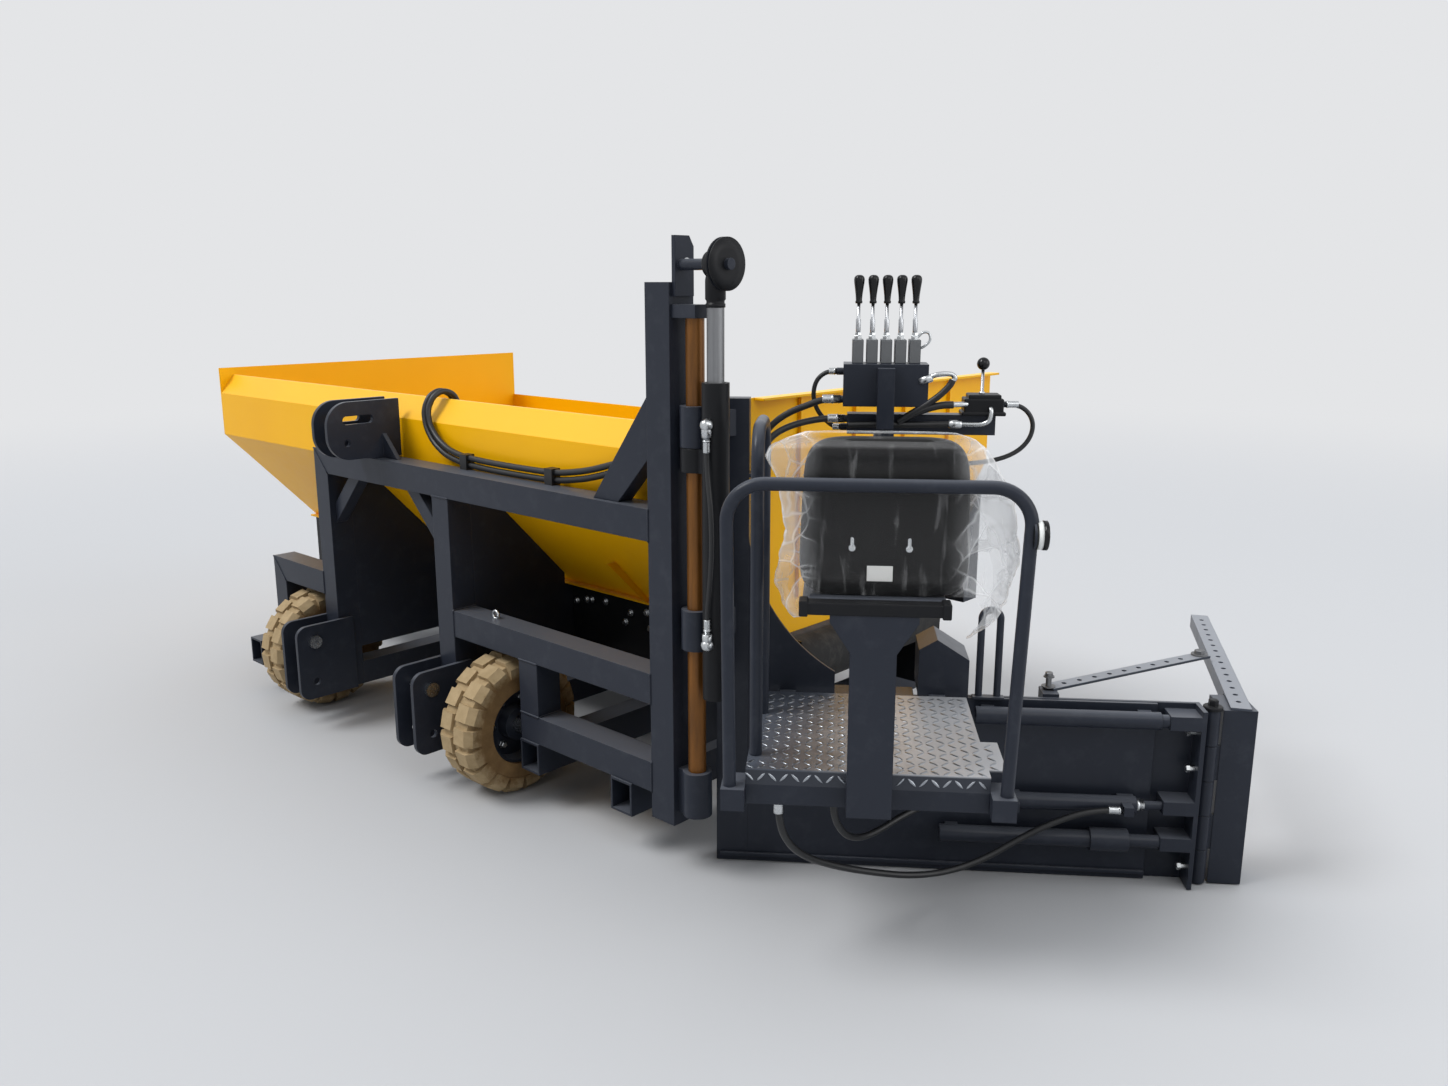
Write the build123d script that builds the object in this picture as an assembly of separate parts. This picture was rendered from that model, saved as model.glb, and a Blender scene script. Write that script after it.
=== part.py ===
# Road widening paver attachment: a hopper over a cross conveyor on a four-wheel tube frame,
# with a mast whose pivot rod carries a lifting, swinging operator station and strike-off.
import math
import os

from build123d import *

# Driving sizes, in millimetres. X runs to the operator's end, Y in the travel direction, Z up.
# The frame's rear face is at Y 0, the mast's outer face at X 0 and the ground at Z 0.
tube = 100                      # square frame tube
plate = 18                      # hitch plates
sheet = 8                       # hopper and conveyor sheet
running_fit = 0.5               # radial room of a sliding or turning fit
side_room = 5                   # room between pieces that move past each other

mast_top = 1837
mast_foot = 165
top_rail_z = 1068
mid_rail_z = 545
bottom_rail_z = 250
left_post_x = -2110
mid_post_x = -1255
short_post_x = -768
arch_leg_x = -2553
post_foot = 130
arch_z = 535
front_frame_y = 1700
brace_low = 1335
brace_high = 1530
brace_foot = 370
brace_foot_wide = 115
brace_inset = 20
gusset_in = 130
gusset_out = 210
gusset_inset = 25

pocket_wide = 100
pocket_high = 115
pocket_wall = 8
pocket_x = (short_post_x, -290, arch_leg_x - pocket_wide)
pocket_back = -6

wheel_radius = 255
tyre_wide = 190
lug_count = 18
lug_deep = 15
lug_root = 8                    # how far a lug reaches into the carcass
lug_half_turn = math.radians(6.8)
lug_gap = 9                     # half the groove along the middle of the tread
lug_skirt = 46                  # how far a lug runs down the side wall
shoulder_wide = 26
shoulder_high = 22
wall_inset = 4                  # side wall behind the lugs' ends
carcass_sides = 36
rim_radius = 142
rim_wide = 150
rim_wall = 12
hub_radius = 62
axle_radius = 30
axle_y = 70
wheel_offset = 162.5            # wheel's middle from the post that carries its axle
wheel_x = (short_post_x - wheel_offset, arch_leg_x + tube + wheel_offset)
rim_disc_half = 10
hub_half = 60
axle_reach = 66                 # axle's end past the wheel's middle
axle_nut_long = 14
axle_nut_step = 12
axle_flange_step = 16
front_axle_y = front_frame_y + tube - axle_y

ear_back = -200
ear_front = 60
ear_low = 128
ear_high = 445
ear_round = 45
ear_hole_radius = 16
ear_hole_y = -125
ear_hole_z = (375, 200)
pin_head_radius = 27
pin_head_long = 14
pin_tail = 20

bracket_x = -1651
bracket_gap = 82
bracket_back = -190
bracket_front = 120
bracket_high = 1395
bracket_hole_radius = 13
bracket_hole_y = -110
bracket_hole_z = 1238
bracket_slot_long = 130
bracket_slot_high = 32
bracket_slot_y = -60
bracket_slot_drop = 70
bracket_nose = 0.4              # nose radius over the plate's height above the rail
bracket_lift = 6                # gap under the overhang
bracket_step_y = -40
bracket_rib = 95
bracket_rib_y = 40

hopper_left = -3238
hopper_right = -40
hopper_back = 135
hopper_overhang = 199            # hopper's front past the front frame
hopper_front = front_frame_y + hopper_overhang
hopper_fold = 1114              # height where the sloping walls turn upright
hopper_rim = 1315
hopper_top = 1400
hopper_bevel = 65
end_wall_top = 1435
right_wall_top = 1478
front_lip = 1190
chute_back = 585                # inner edges of the hopper's open bottom
chute_setback = 251
chute_front = front_frame_y - chute_setback
chute_z = 653
chute_flange = 40
front_post_seat = 14            # front posts stop this far under the sloping wall
slope_drop = hopper_fold - chute_z
sheet_lean = sheet * math.hypot(chute_back - hopper_back, slope_drop) / slope_drop
web_low = 300
mast_web_x = -170               # clear of the conveyor's motor
web_top_y = 150
web_seat = 0.3                  # weld gap under the hopper and the flange
slope_rib_x = (-2700, -1700, -700, -300)
slope_rib_deep = 42
slope_rib_top = 400
top_flange = 40
top_flange_back = 420
rib_deep = 14
rib_y = tuple(hopper_front - inset for inset in (1259, 949, 639, 329))

conveyor_right = 40
drum_inset = 140
conveyor_drum = 85
belt_thick = 10
conveyor_plate_top = chute_z - sheet
drum_z = 540
roller_radius = 42
roller_count = 7
motor_radius = 70
motor_long = 150
motor_flange = 20
motor_flange_step = 18
belt_side_room = 6

pivot_x = 54
pivot_y = 50
pivot_radius = 27.5
pivot_foot = 240
pivot_top = 1737
collar_radius = 46
collar_z = ((753, 877), (1368, 1488))
knuckle_low = 209
knuckle_high = 355
cap_high = 38
head_high = 1966
head_pin_z = 1885

lift_offset = 93                # lift cylinder's axis from the pivot rod's
lift_angle = -8
lift_barrel_radius = 40
lift_rod_radius = 25
lift_rod_low = 880
lift_eye_radius = 36
lift_pin_radius = 16
lift_lug_half = 22
head_disc_radius = 72
head_disc_thick = 16
head_groove_wide = 6
head_groove_deep = 9
cheek_thick = 14
cheek_y = (12, 88)
cheek_drop = 40
cheek_cut = (18, 30)            # corner cut, along and down
head_pin_end = 14
lift_eye_half = 20
elbow_angle = -75               # side of the barrel that the hose elbows face
elbow_z = (1445, 800)
elbow_reach = 56
elbow_radius = 14
elbow_neck = 10
elbow_root = 8
elbow_drop = 34
lift_barrel_low = 620
lift_barrel_high = 1560
lift_ring_high = 70

swing_rest = 37                 # the station stands this many degrees ahead of square
station_post_x = 50
station_post_wide = 100
station_post_deep = 60
station_y = 100                 # rear face of the strike-off, ahead of the pivot rod
station_low = 4
arm_inset = 20
arm_toe = 60
arm_neck = (30, 36)
station_top = 1500

screed_right = 1400
screed_high = 585
screed_plate = 12
screed_flange = 80
flange_gap = 30                 # flange's end before the sliding plate
web_high = 1080                 # curved web from the station's post down to the strike-off
web_bend = (225, 850)
web_toe = (420, 655)

slide_plate_left = 700
slide_plate_right = 1530
slide_plate = 12
end_frame_left = 1425
end_frame_back = 40
end_plate = 14
shelf_high = 44
shelf_z = (128, 248, 523)
guide_radius = 27
guide_rod_radius = 20
guide_sleeve_radius = 36        # end sleeve of the lower guide
guide_sleeve_long = 115
# Guide tubes: left end, right end, centre height, radius at the right end.
guides = ((850, 1400, 545, guide_radius), (756, 1330, 150, guide_sleeve_radius))
guide_y = 62
guide_foot = 40
guide_foot_inset = 20
rod_overlap = 60                # how far a rod stays in its tube
cylinder_foot = 50
cylinder_foot_high = 36
cylinder_end = 30
cylinder_radius = 26
cylinder_rod_radius = 13
cylinder_left = 952
cylinder_right = 1347
cylinder_z = 270
port_x = 1300                    # hose port at the rod end
port_inset = 8
port_y = 18
port_size = 30

hinge_x = 1562
hinge_y = 100
hinge_radius = 24
hinge_pin_radius = 10
hinge_knuckles = 5
hinge_gap = 2
leaf_half = 8
wing_left = 1592
wing_wide = 100
wing_back = 90
wing_front = 230
wing_high = 575
bar_tilt = 10
bar_long = 1040
bar_wide = 60
bar_thick = 8
bar_hole_radius = 8
bar_hole_pitch = 65
stay_x = 1086
stay_low = 595
stay_y = 178
stay_turn = 33
stay_long = 700
stay_wide = 50
stay_seat = 25
stay_seat_high = 60
bar_end = 60                    # first hole from the bar's end
bar_leg = 40
bar_leg_gap = 12

deck_left = 190
deck_right = 820
deck_back = -525
deck_front = 60
deck_top = 600
deck_skirt = 100
deck_lip = 45
deck_side_lip = 60
deck_plate = 8
step_wide = 46
step_back = -480
step_front = -290
bearer_wide = 50
bearer_high = 60
bearer_inset = 60
fitting_radius = 16
hose_start_x = deck_left + bearer_inset + bearer_wide / 2
hose_start_y = -480
hose_start_z = 500
cross_hose_x = 420
cross_hose_y = -380

seat_post_left = 452
seat_post_wide = 115
seat_post_deep = 60
seat_rail_z = 1040
seat_flare = 52
seat_head_high = 100
seat_lip_high = 20
seat_shelf_half = 178
seat_shelf_deep = 320
seat_shelf_thick = 26
seat_wide = 430
seat_back_top = 1465
seat_centre = 537
cushion_inset = 60
cushion_deep = 430
cushion_high = 95
cushion_round = 45
seat_back_inset = 5
seat_back_thick = 52
seat_back_round = 70

rail_radius = 17
rail_bend = 95
rail_top = 1355
rail_left = 140
rail_right = 858
rail_splay = 26
rail_setback = 20               # railing behind the deck's edge
rail_foot = 80                  # railing's ends below the deck's top
rail_lean = 10
rail_lug_half = 12
rail_lug_back = 30
rail_lug_front = 60
rail_lug_drop = (100, 40)            # railing lugs' lower and upper faces below the deck's top
lamp_z = 1240
lamp_radius = 34
lamp_deep = 34
side_rail_x = 210
side_rail_back = -430
side_rail_front = -120
side_rail_top = 1470
grip_left = 862
grip_right = 918
grip_top = 866
grip_bend = 26
grip_radius = 11
grip_foot = 8
grip_base = 20
box_left = 676
box_right = 830
box_peak_x = 731
box_peak = 768
box_shoulder = 735
box_nose = 705
box_front = 255

control_x = 551
control_y = 200
control_tube = 60
cross_bar_z = 1390
cross_bar_left = 440
cross_bar_right = 880
valve_box_low = 1475
valve_box_high = 1600
valve_box_wide = 250
valve_box_deep = 120
valve_bracket_half = 20
valve_tube_wide = 50
valve_tube_deep = 40
valve_tube_z = (1412, 1590)
valve_link_high = 16
column_foot = 12
spool_wide = 32
spool_deep = 80
valve_high = 70
lever_count = 5
lever_pitch = 42
knob_radius = 16
knob_foot_radius = 10
knob_high = 82
lever_top = 1858
joystick_x = 840
joystick_half = 40
joystick_high = 60
joystick_long = 90
joystick_ball = 19
lever_radius = 6
small_fitting_radius = 11
feed_bracket_right = 208
feed_bracket_z = (1262, 1274)
feed_fitting_top = 1294

hose_diameter = 20
small_hose_diameter = 14
rail_hose_diameter = 22
rail_fitting_radius = 12
clip_x = (-1150, -661)
clip_half = 20
clip_y = (72, 110)
clip_top = 1224


# Basic solids
def block(x0, x1, y0, y1, z0, z1):
    return Pos((x0 + x1) / 2, (y0 + y1) / 2, (z0 + z1) / 2) * Box(x1 - x0, y1 - y0, z1 - z0)


def bar_x(x0, x1, y, z, radius):
    return Pos((x0 + x1) / 2, y, z) * Rot(0, 90, 0) * Cylinder(radius, x1 - x0)


def bar_y(y0, y1, x, z, radius):
    return Pos(x, (y0 + y1) / 2, z) * Rot(90, 0, 0) * Cylinder(radius, y1 - y0)


def bar_z(z0, z1, x, y, radius):
    return Pos(x, y, (z0 + z1) / 2) * Cylinder(radius, z1 - z0)


def prism_x(points, x0, x1):
    return extrude(Plane.YZ.offset(x0) * make_face(Polyline(*points, close=True)), amount=x1 - x0)


def prism_y(points, y0, y1):
    return extrude(Plane.XZ.offset(-y1) * make_face(Polyline(*points, close=True)), amount=y1 - y0)


def prism_z(points, z0, z1):
    return extrude(Plane.XY.offset(z0) * make_face(Polyline(*points, close=True)), amount=z1 - z0)


def pipe(path, radius):
    return sweep(Plane(path @ 0, z_dir=path % 0) * Circle(radius), path=path)


nodes = {}


# Frame
def frame_rails():
    top = prism_y([(left_post_x, top_rail_z + tube), (-tube, top_rail_z + tube), (-tube, top_rail_z),
                   (left_post_x + tube, top_rail_z)], 0, tube)
    mid = block(mid_post_x + tube, -tube, 0, tube, mid_rail_z, mid_rail_z + tube)
    bottom = block(short_post_x, -tube, 0, tube, bottom_rail_z, bottom_rail_z + tube)
    arch = prism_y([(arch_leg_x, arch_z + tube), (left_post_x, arch_z + tube), (left_post_x, arch_z),
                    (arch_leg_x + tube, arch_z)], 0, tube)
    front = block(arch_leg_x, 0, front_frame_y, front_frame_y + tube, mid_rail_z, mid_rail_z + tube)
    return [top, mid, bottom, arch, front]


def frame_posts():
    left = prism_y([(left_post_x, post_foot), (left_post_x, top_rail_z + tube),
                    (left_post_x + tube, top_rail_z), (left_post_x + tube, post_foot)], 0, tube)
    leg = prism_y([(arch_leg_x, post_foot), (arch_leg_x, arch_z + tube), (arch_leg_x + tube, arch_z),
                   (arch_leg_x + tube, post_foot)], 0, tube)
    mid = block(mid_post_x, mid_post_x + tube, 0, tube, post_foot, top_rail_z)
    short = block(short_post_x, short_post_x + tube, 0, tube, bottom_rail_z + tube, mid_rail_z)
    posts = [left, leg, mid, short]
    for x, foot in ((arch_leg_x, post_foot), (short_post_x, bottom_rail_z)):
        posts.append(block(x, x + tube, front_frame_y, front_frame_y + tube, foot, mid_rail_z))
    return posts


def slope_height(y):
    return chute_z + (y - chute_front) * slope_drop / (hopper_front - chute_front)


def front_posts():
    posts = []
    for x in (left_post_x, mid_post_x, -tube):
        low = slope_height(front_frame_y) - front_post_seat
        high = slope_height(front_frame_y + tube) - front_post_seat
        base = mid_rail_z + tube
        posts.append(prism_x([(front_frame_y, base), (front_frame_y, low),
                              (front_frame_y + tube, high), (front_frame_y + tube, base)], x, x + tube))
    return posts


def cross_tubes():
    return [block(x, x + tube, tube, front_frame_y, post_foot, post_foot + tube)
            for x in (left_post_x, mid_post_x)]


def mast_post():
    return [block(-tube, 0, 0, tube, mast_foot, mast_top)]


def mast_brace():
    foot_z = top_rail_z + tube
    return [prism_y([(-tube, brace_high), (-tube, brace_low), (brace_foot_wide - brace_foot, foot_z),
                     (-brace_foot, foot_z)], brace_inset, tube - brace_inset)]


def corner_gussets():
    gussets = []
    for corner, way in ((left_post_x + tube, 1), (mid_post_x, -1)):
        outline = [(corner, top_rail_z - gusset_out), (corner, top_rail_z - gusset_in),
                   (corner + way * gusset_in, top_rail_z), (corner + way * gusset_out, top_rail_z)]
        gussets.append(prism_y(outline, gusset_inset, tube - gusset_inset))
    return gussets


def fork_pockets():
    pockets = []
    for x in pocket_x:
        low = bottom_rail_z - pocket_high
        end = front_frame_y + tube
        outer = block(x, x + pocket_wide, pocket_back, end, low, bottom_rail_z)
        inner = block(x + pocket_wall, x + pocket_wide - pocket_wall, pocket_back - 1, end + 1,
                      low + pocket_wall, bottom_rail_z - pocket_wall)
        pockets.append(outer - inner)
    return pockets


nodes["frame_rails"] = frame_rails()
nodes["frame_posts"] = frame_posts() + front_posts()
nodes["cross_tubes"] = cross_tubes()
nodes["mast_post"] = mast_post()
nodes["frame_braces"] = mast_brace() + corner_gussets()
nodes["fork_pockets"] = fork_pockets()


# Web plates that carry the hopper and the conveyor from the rear posts
def slope_outside(y):
    run = chute_back - sheet_lean - hopper_back
    return hopper_fold - (y - hopper_back) * slope_drop / run


def rear_webs():
    top = top_rail_z
    inner = chute_back - sheet
    under = inner - chute_flange
    outline = [(tube, web_low), (tube, top), (web_top_y, top),
               (web_top_y, slope_outside(web_top_y) - web_seat),
               (under, slope_outside(under) - web_seat), (under, conveyor_plate_top - web_seat),
               (inner, conveyor_plate_top - web_seat), (inner, web_low)]
    places = (left_post_x + tube - sheet, mid_post_x + tube - sheet, mast_web_x)
    return [prism_x(outline, x, x + sheet) for x in places]


nodes["rear_webs"] = rear_webs()


# Hitch to the carrying machine
def ear_plate(x):
    outline = make_face(Polyline((ear_back, ear_low), (ear_back, ear_high), (ear_front, ear_high),
                                 (ear_front, ear_low), close=True))
    outline = fillet(outline.vertices().filter_by(lambda v: v.X < ear_back + 1), ear_round)
    body = extrude(Plane.YZ.offset(x) * outline, amount=plate)
    for z in ear_hole_z:
        body -= bar_x(x - 1, x + plate + 1, ear_hole_y, z, ear_hole_radius)
    return body


def hitch_ears():
    return [ear_plate(x) for post in (left_post_x, mid_post_x) for x in (post - plate, post + tube)]


def hitch_pins():
    pins = []
    z = ear_hole_z[0]
    for post in (left_post_x, mid_post_x):
        outside = post + tube + plate
        pin = bar_x(post - plate - pin_tail, outside, ear_hole_y, z, ear_hole_radius - running_fit)
        pins.append(pin + bar_x(outside, outside + pin_head_long, ear_hole_y, z, pin_head_radius))
    return pins


def bracket_plate(x):
    foot = top_rail_z + tube
    outline = make_face(Polyline((bracket_back, foot + bracket_lift), (bracket_back, bracket_high),
                                 (bracket_front, bracket_high), (bracket_front, foot), (0, foot),
                                 (bracket_step_y, foot + bracket_lift), close=True))
    ends = outline.vertices().filter_by(lambda v: v.X < bracket_back + 1)
    outline = fillet(ends, (bracket_high - foot) * bracket_nose)
    body = extrude(Plane.YZ.offset(x) * outline, amount=plate)
    slot = SlotOverall(bracket_slot_long, bracket_slot_high)
    place = Plane.YZ.offset(x - 1) * Pos(bracket_slot_y, bracket_high - bracket_slot_drop)
    body -= extrude(place * slot, amount=plate + 2)
    return body - bar_x(x - 1, x + plate + 1, bracket_hole_y, bracket_hole_z, bracket_hole_radius)


def upper_hitch_plates():
    near = bracket_plate(bracket_x)
    foot = top_rail_z + tube
    right = bracket_x + plate
    near += prism_y([(right, foot), (right + bracket_rib, foot), (right, foot + bracket_rib)],
                    bracket_rib_y, bracket_rib_y + plate)
    return [near, bracket_plate(bracket_x - bracket_gap - plate)]


nodes["hitch_ears"] = hitch_ears()
nodes["hitch_pins"] = hitch_pins()
nodes["upper_hitch_plates"] = upper_hitch_plates()


# Hopper
def hopper_rear_wall():
    y, t = hopper_back, sheet
    outer = [(chute_back - sheet_lean, chute_z), (y, hopper_fold), (y, hopper_rim),
             (y + hopper_bevel, hopper_top)]
    inner = [(y + hopper_bevel + t * 1.4, hopper_top), (y + t, hopper_rim - t * 0.6),
             (y + t, hopper_fold + t * 0.6), (chute_back, chute_z)]
    flange = block(hopper_left + sheet, hopper_right - sheet, chute_back - chute_flange, chute_back,
                   conveyor_plate_top, chute_z)
    wall = prism_x(outer + inner, hopper_left + sheet, hopper_right - sheet) + flange
    foot = chute_back - chute_flange
    rib_high = slope_outside(slope_rib_top)
    for x in slope_rib_x:
        wall += prism_x([(foot, chute_z), (chute_back - sheet_lean, chute_z), (slope_rib_top, rib_high),
                         (slope_rib_top - slope_rib_deep, rib_high)], x, x + sheet)
    return [wall]


def hopper_front_wall():
    y, t = hopper_front, sheet
    outer = [(chute_front + sheet_lean, chute_z), (y, hopper_fold), (y, front_lip)]
    inner = [(y - t, front_lip), (y - t, hopper_fold + t * 0.6), (chute_front, chute_z)]
    flange = block(hopper_left + sheet, hopper_right - sheet, chute_front, chute_front + chute_flange,
                   conveyor_plate_top, chute_z)
    return [prism_x(outer + inner, hopper_left + sheet, hopper_right - sheet) + flange]


def end_wall(x, top):
    outline = [(hopper_back, hopper_fold), (hopper_back, top), (hopper_front, top),
               (hopper_front, hopper_fold), (chute_front, chute_z), (chute_back, chute_z)]
    return prism_x(outline, x, x + sheet)


def hopper_right_wall():
    wall = end_wall(hopper_right - sheet, right_wall_top)
    for y in rib_y:
        wall += block(hopper_right, hopper_right + rib_deep, y, y + sheet, slope_height(max(rib_y)),
                      right_wall_top)
    wall += block(hopper_right, hopper_right + top_flange, top_flange_back, hopper_front,
                  right_wall_top - sheet, right_wall_top)
    return [wall]


nodes["hopper_rear_wall"] = hopper_rear_wall()
nodes["hopper_front_wall"] = hopper_front_wall()
nodes["hopper_left_wall"] = [end_wall(hopper_left, end_wall_top)]
nodes["hopper_right_wall"] = hopper_right_wall()


# Conveyor
def conveyor_sides():
    low = bottom_rail_z
    back = block(hopper_left, conveyor_right, chute_back - sheet, chute_back, low, conveyor_plate_top)
    front = block(hopper_left, conveyor_right, chute_front, chute_front + sheet, low, conveyor_plate_top)
    return [back, front]


def drum_places():
    return hopper_left + drum_inset, conveyor_right - conveyor_drum


def belt_loop(radius, thick, y0, y1):
    left, right = drum_places()
    centre = (left + right) / 2
    long = right - left
    ring = SlotCenterToCenter(long, 2 * (radius + thick)) - SlotCenterToCenter(long, 2 * radius)
    return extrude(Plane.XZ.offset(-y1) * Pos(centre, drum_z) * ring, amount=y1 - y0)


def conveyor_rollers():
    left, right = drum_places()
    y0, y1 = chute_back, chute_front
    rollers = [bar_y(y0, y1, x, drum_z, conveyor_drum - running_fit) for x in (left, right)]
    pitch = (right - left) / (roller_count + 1)
    for i in range(roller_count):
        x = left + (i + 1) * pitch
        rollers.append(bar_y(y0, y1, x, drum_z + conveyor_drum - roller_radius - running_fit, roller_radius))
    return rollers


def conveyor_motor():
    x = drum_places()[1]
    back = chute_back - sheet
    flange = bar_y(back - motor_flange, back, x, drum_z, motor_radius + motor_flange_step)
    return [flange + bar_y(back - motor_long, back - motor_flange, x, drum_z, motor_radius)]


nodes["conveyor_sides"] = conveyor_sides()
nodes["conveyor_belt"] = [belt_loop(conveyor_drum, belt_thick, chute_back + belt_side_room,
                                    chute_front - belt_side_room)]
nodes["conveyor_rollers"] = conveyor_rollers()
nodes["conveyor_motor"] = conveyor_motor()


# Wheels
def tread_ring(x, radius):
    return Plane.YZ.offset(x) * RegularPolygon(radius, carcass_sides)


def carcass():
    crown = wheel_radius - lug_deep
    shoulder = tyre_wide / 2 - shoulder_wide
    wall = tyre_wide / 2 - wall_inset
    rings = ((-wall, crown - lug_skirt), (-shoulder, crown), (shoulder, crown), (wall, crown - lug_skirt))
    body = loft([tread_ring(x, radius) for x, radius in rings], ruled=True)
    return body - bar_x(-tyre_wide, tyre_wide, 0, 0, rim_radius)


def lug(side, turn):
    half = tyre_wide / 2
    crown = wheel_radius - lug_deep
    top = wheel_radius * math.cos(lug_half_turn)
    wide = wheel_radius * math.sin(lug_half_turn)
    outline = [(lug_gap, crown - lug_root), (lug_gap, top), (half - shoulder_wide, top),
               (half, top - shoulder_high), (half, crown - lug_skirt), (half - lug_root, crown - lug_skirt),
               (half - shoulder_wide - lug_root, crown - lug_root)]
    return Rot(turn, 0, 0) * prism_y([(side * x, z) for x, z in outline], -wide, wide)


def tyre():
    pitch = 360 / lug_count
    first = 180 + math.degrees(lug_half_turn)       # one lug's edge stands on the ground
    lugs = [lug(side, first + (i + shift) * pitch)
            for side, shift in ((1, 0), (-1, 0.5)) for i in range(lug_count)]
    return carcass().fuse(*lugs)


def rim():
    drum = bar_x(-rim_wide / 2, rim_wide / 2, 0, 0, rim_radius) \
        - bar_x(-rim_wide / 2 - 1, rim_wide / 2 + 1, 0, 0, rim_radius - rim_wall)
    disc = bar_x(-rim_disc_half, rim_disc_half, 0, 0, rim_radius - rim_wall)
    hub = bar_x(-hub_half, hub_half, 0, 0, hub_radius)
    return drum + disc + hub - bar_x(-hub_half - 1, hub_half + 1, 0, 0, axle_radius + running_fit)


def stub_axle(x, y, root, way):
    def turned(start, long, radius):
        end = start + way * long
        return bar_x(min(start, end), max(start, end), y, wheel_radius, radius)

    shaft_long = abs(x - root) + axle_reach
    nut = turned(root + way * shaft_long, axle_nut_long, axle_radius + axle_nut_step)
    flange = turned(root, axle_nut_long, axle_radius + axle_flange_step)
    return turned(root, shaft_long, axle_radius) + nut + flange


# Each wheel: name, centre X, axle Y, face that carries its axle, side the axle points to.
wheels = (
    ("rear_right", wheel_x[0], axle_y, short_post_x, -1),
    ("rear_left", wheel_x[1], axle_y, arch_leg_x + tube, 1),
    ("front_right", wheel_x[0], front_axle_y, short_post_x, -1),
    ("front_left", wheel_x[1], front_axle_y, arch_leg_x + tube, 1),
)
one_tyre = tyre()
one_rim = rim()
for name, x, y, root, way in wheels:
    nodes["tyre_" + name] = [Pos(x, y, wheel_radius) * one_tyre]
    nodes["rim_" + name] = [Pos(x, y, wheel_radius) * one_rim]
nodes["stub_axles"] = [stub_axle(x, y, root, way) for name, x, y, root, way in wheels]


# Mast pivot and lift
def pivot_seats():
    knuckle = bar_z(knuckle_low, knuckle_high, pivot_x, pivot_y, collar_radius)
    knuckle += block(0, pivot_x, pivot_y - 30, pivot_y + 30, knuckle_low, knuckle_high)
    knuckle -= bar_z(pivot_foot, knuckle_high + 1, pivot_x, pivot_y, pivot_radius + running_fit)
    cap = block(0, pivot_x + collar_radius - 5, 8, tube - 8, pivot_top, pivot_top + cap_high)
    return [knuckle, cap]


def lift_centre():
    angle = math.radians(lift_angle)
    return pivot_x + lift_offset * math.cos(angle), pivot_y + lift_offset * math.sin(angle)


def mast_head():
    x, y = lift_centre()
    back, front = cheek_y
    along, down = cheek_cut
    foot = mast_top - cheek_drop
    cheek = prism_x([(back, foot), (back, head_high), (front - along, head_high), (front, head_high - down),
                     (front, foot)], 0, cheek_thick)
    outer = x + lift_rod_radius + side_room
    disc = bar_x(outer, outer + head_disc_thick, y, head_pin_z, head_disc_radius)
    groove = outer + (head_disc_thick - head_groove_wide) / 2
    disc -= bar_x(groove, groove + head_groove_wide, y, head_pin_z, head_disc_radius + 1)
    disc += bar_x(groove, groove + head_groove_wide, y, head_pin_z, head_disc_radius - head_groove_deep)
    pin = bar_x(cheek_thick, outer + head_disc_thick + head_pin_end, y, head_pin_z, lift_pin_radius)
    return [cheek + pin + disc]


def lift_rod():
    x, y = lift_centre()
    eye = bar_x(x - lift_eye_half, x + lift_eye_half, y, head_pin_z, lift_eye_radius)
    stem = bar_z(lift_rod_low, head_pin_z - lift_pin_radius, x, y, lift_rod_radius)
    bore = bar_x(x - lift_eye_radius, x + lift_eye_radius, y, head_pin_z, lift_pin_radius + running_fit)
    return [stem + eye - bore]


def lift_elbow(z):
    x, y = lift_centre()
    turn = Pos(x, y, z) * Rot(0, 0, elbow_angle)
    neck = turn * bar_x(lift_barrel_radius - elbow_root, elbow_reach, 0, 0, elbow_neck)
    end = turn * bar_z(-elbow_drop, elbow_radius, elbow_reach, 0, elbow_radius)
    return neck + end


def lift_cylinder():
    x, y = lift_centre()
    shell = bar_z(lift_barrel_low, lift_barrel_high, x, y, lift_barrel_radius)
    shell -= bar_z(lift_barrel_low + 30, lift_barrel_high + 1, x, y, lift_rod_radius + 3)
    ring_top = collar_z[1][0] - 2
    ring_low = ring_top - lift_ring_high
    ring = bar_z(ring_low, ring_top, pivot_x, pivot_y, collar_radius)
    bridge = block(0, lift_offset, -lift_lug_half, lift_lug_half, ring_low, ring_top)
    ring += Pos(pivot_x, pivot_y, 0) * Rot(0, 0, lift_angle) * bridge
    ring -= bar_z(ring_low - 1, ring_top + 1, pivot_x, pivot_y, pivot_radius + running_fit)
    ring -= bar_z(ring_low - 1, ring_top + 1, x, y, lift_barrel_radius - 2)
    upper, lower = elbow_z
    return [shell + ring + lift_elbow(upper) + mirror(lift_elbow(lower), Plane.XY.offset(lower))]


nodes["pivot_rod"] = [bar_z(pivot_foot, pivot_top, pivot_x, pivot_y, pivot_radius)]
nodes["mast_fittings"] = pivot_seats() + mast_head()
nodes["lift_rod"] = lift_rod()
nodes["lift_cylinder"] = lift_cylinder()


# Hoses: straight runs joined by arcs as large as the runs allow
def hose(name, points, diameter):
    places = [Vector(*point) for point in points]
    runs = [b - a for a, b in zip(places, places[1:])]
    radii = [0.45 * min(a.length, b.length) / math.tan(math.radians(a.get_angle(b)) / 2)
             for a, b in zip(runs, runs[1:])]
    path = FilletPolyline(*places, radius=radii)
    tube_solid = pipe(path, diameter / 2)
    section = math.pi * diameter ** 2 / 4
    print(name, "length", round(path.length), "least radius in diameters", round(min(radii) / diameter, 1),
          "volume ratio", round(tube_solid.volume / section / path.length, 4))
    return tube_solid


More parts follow.
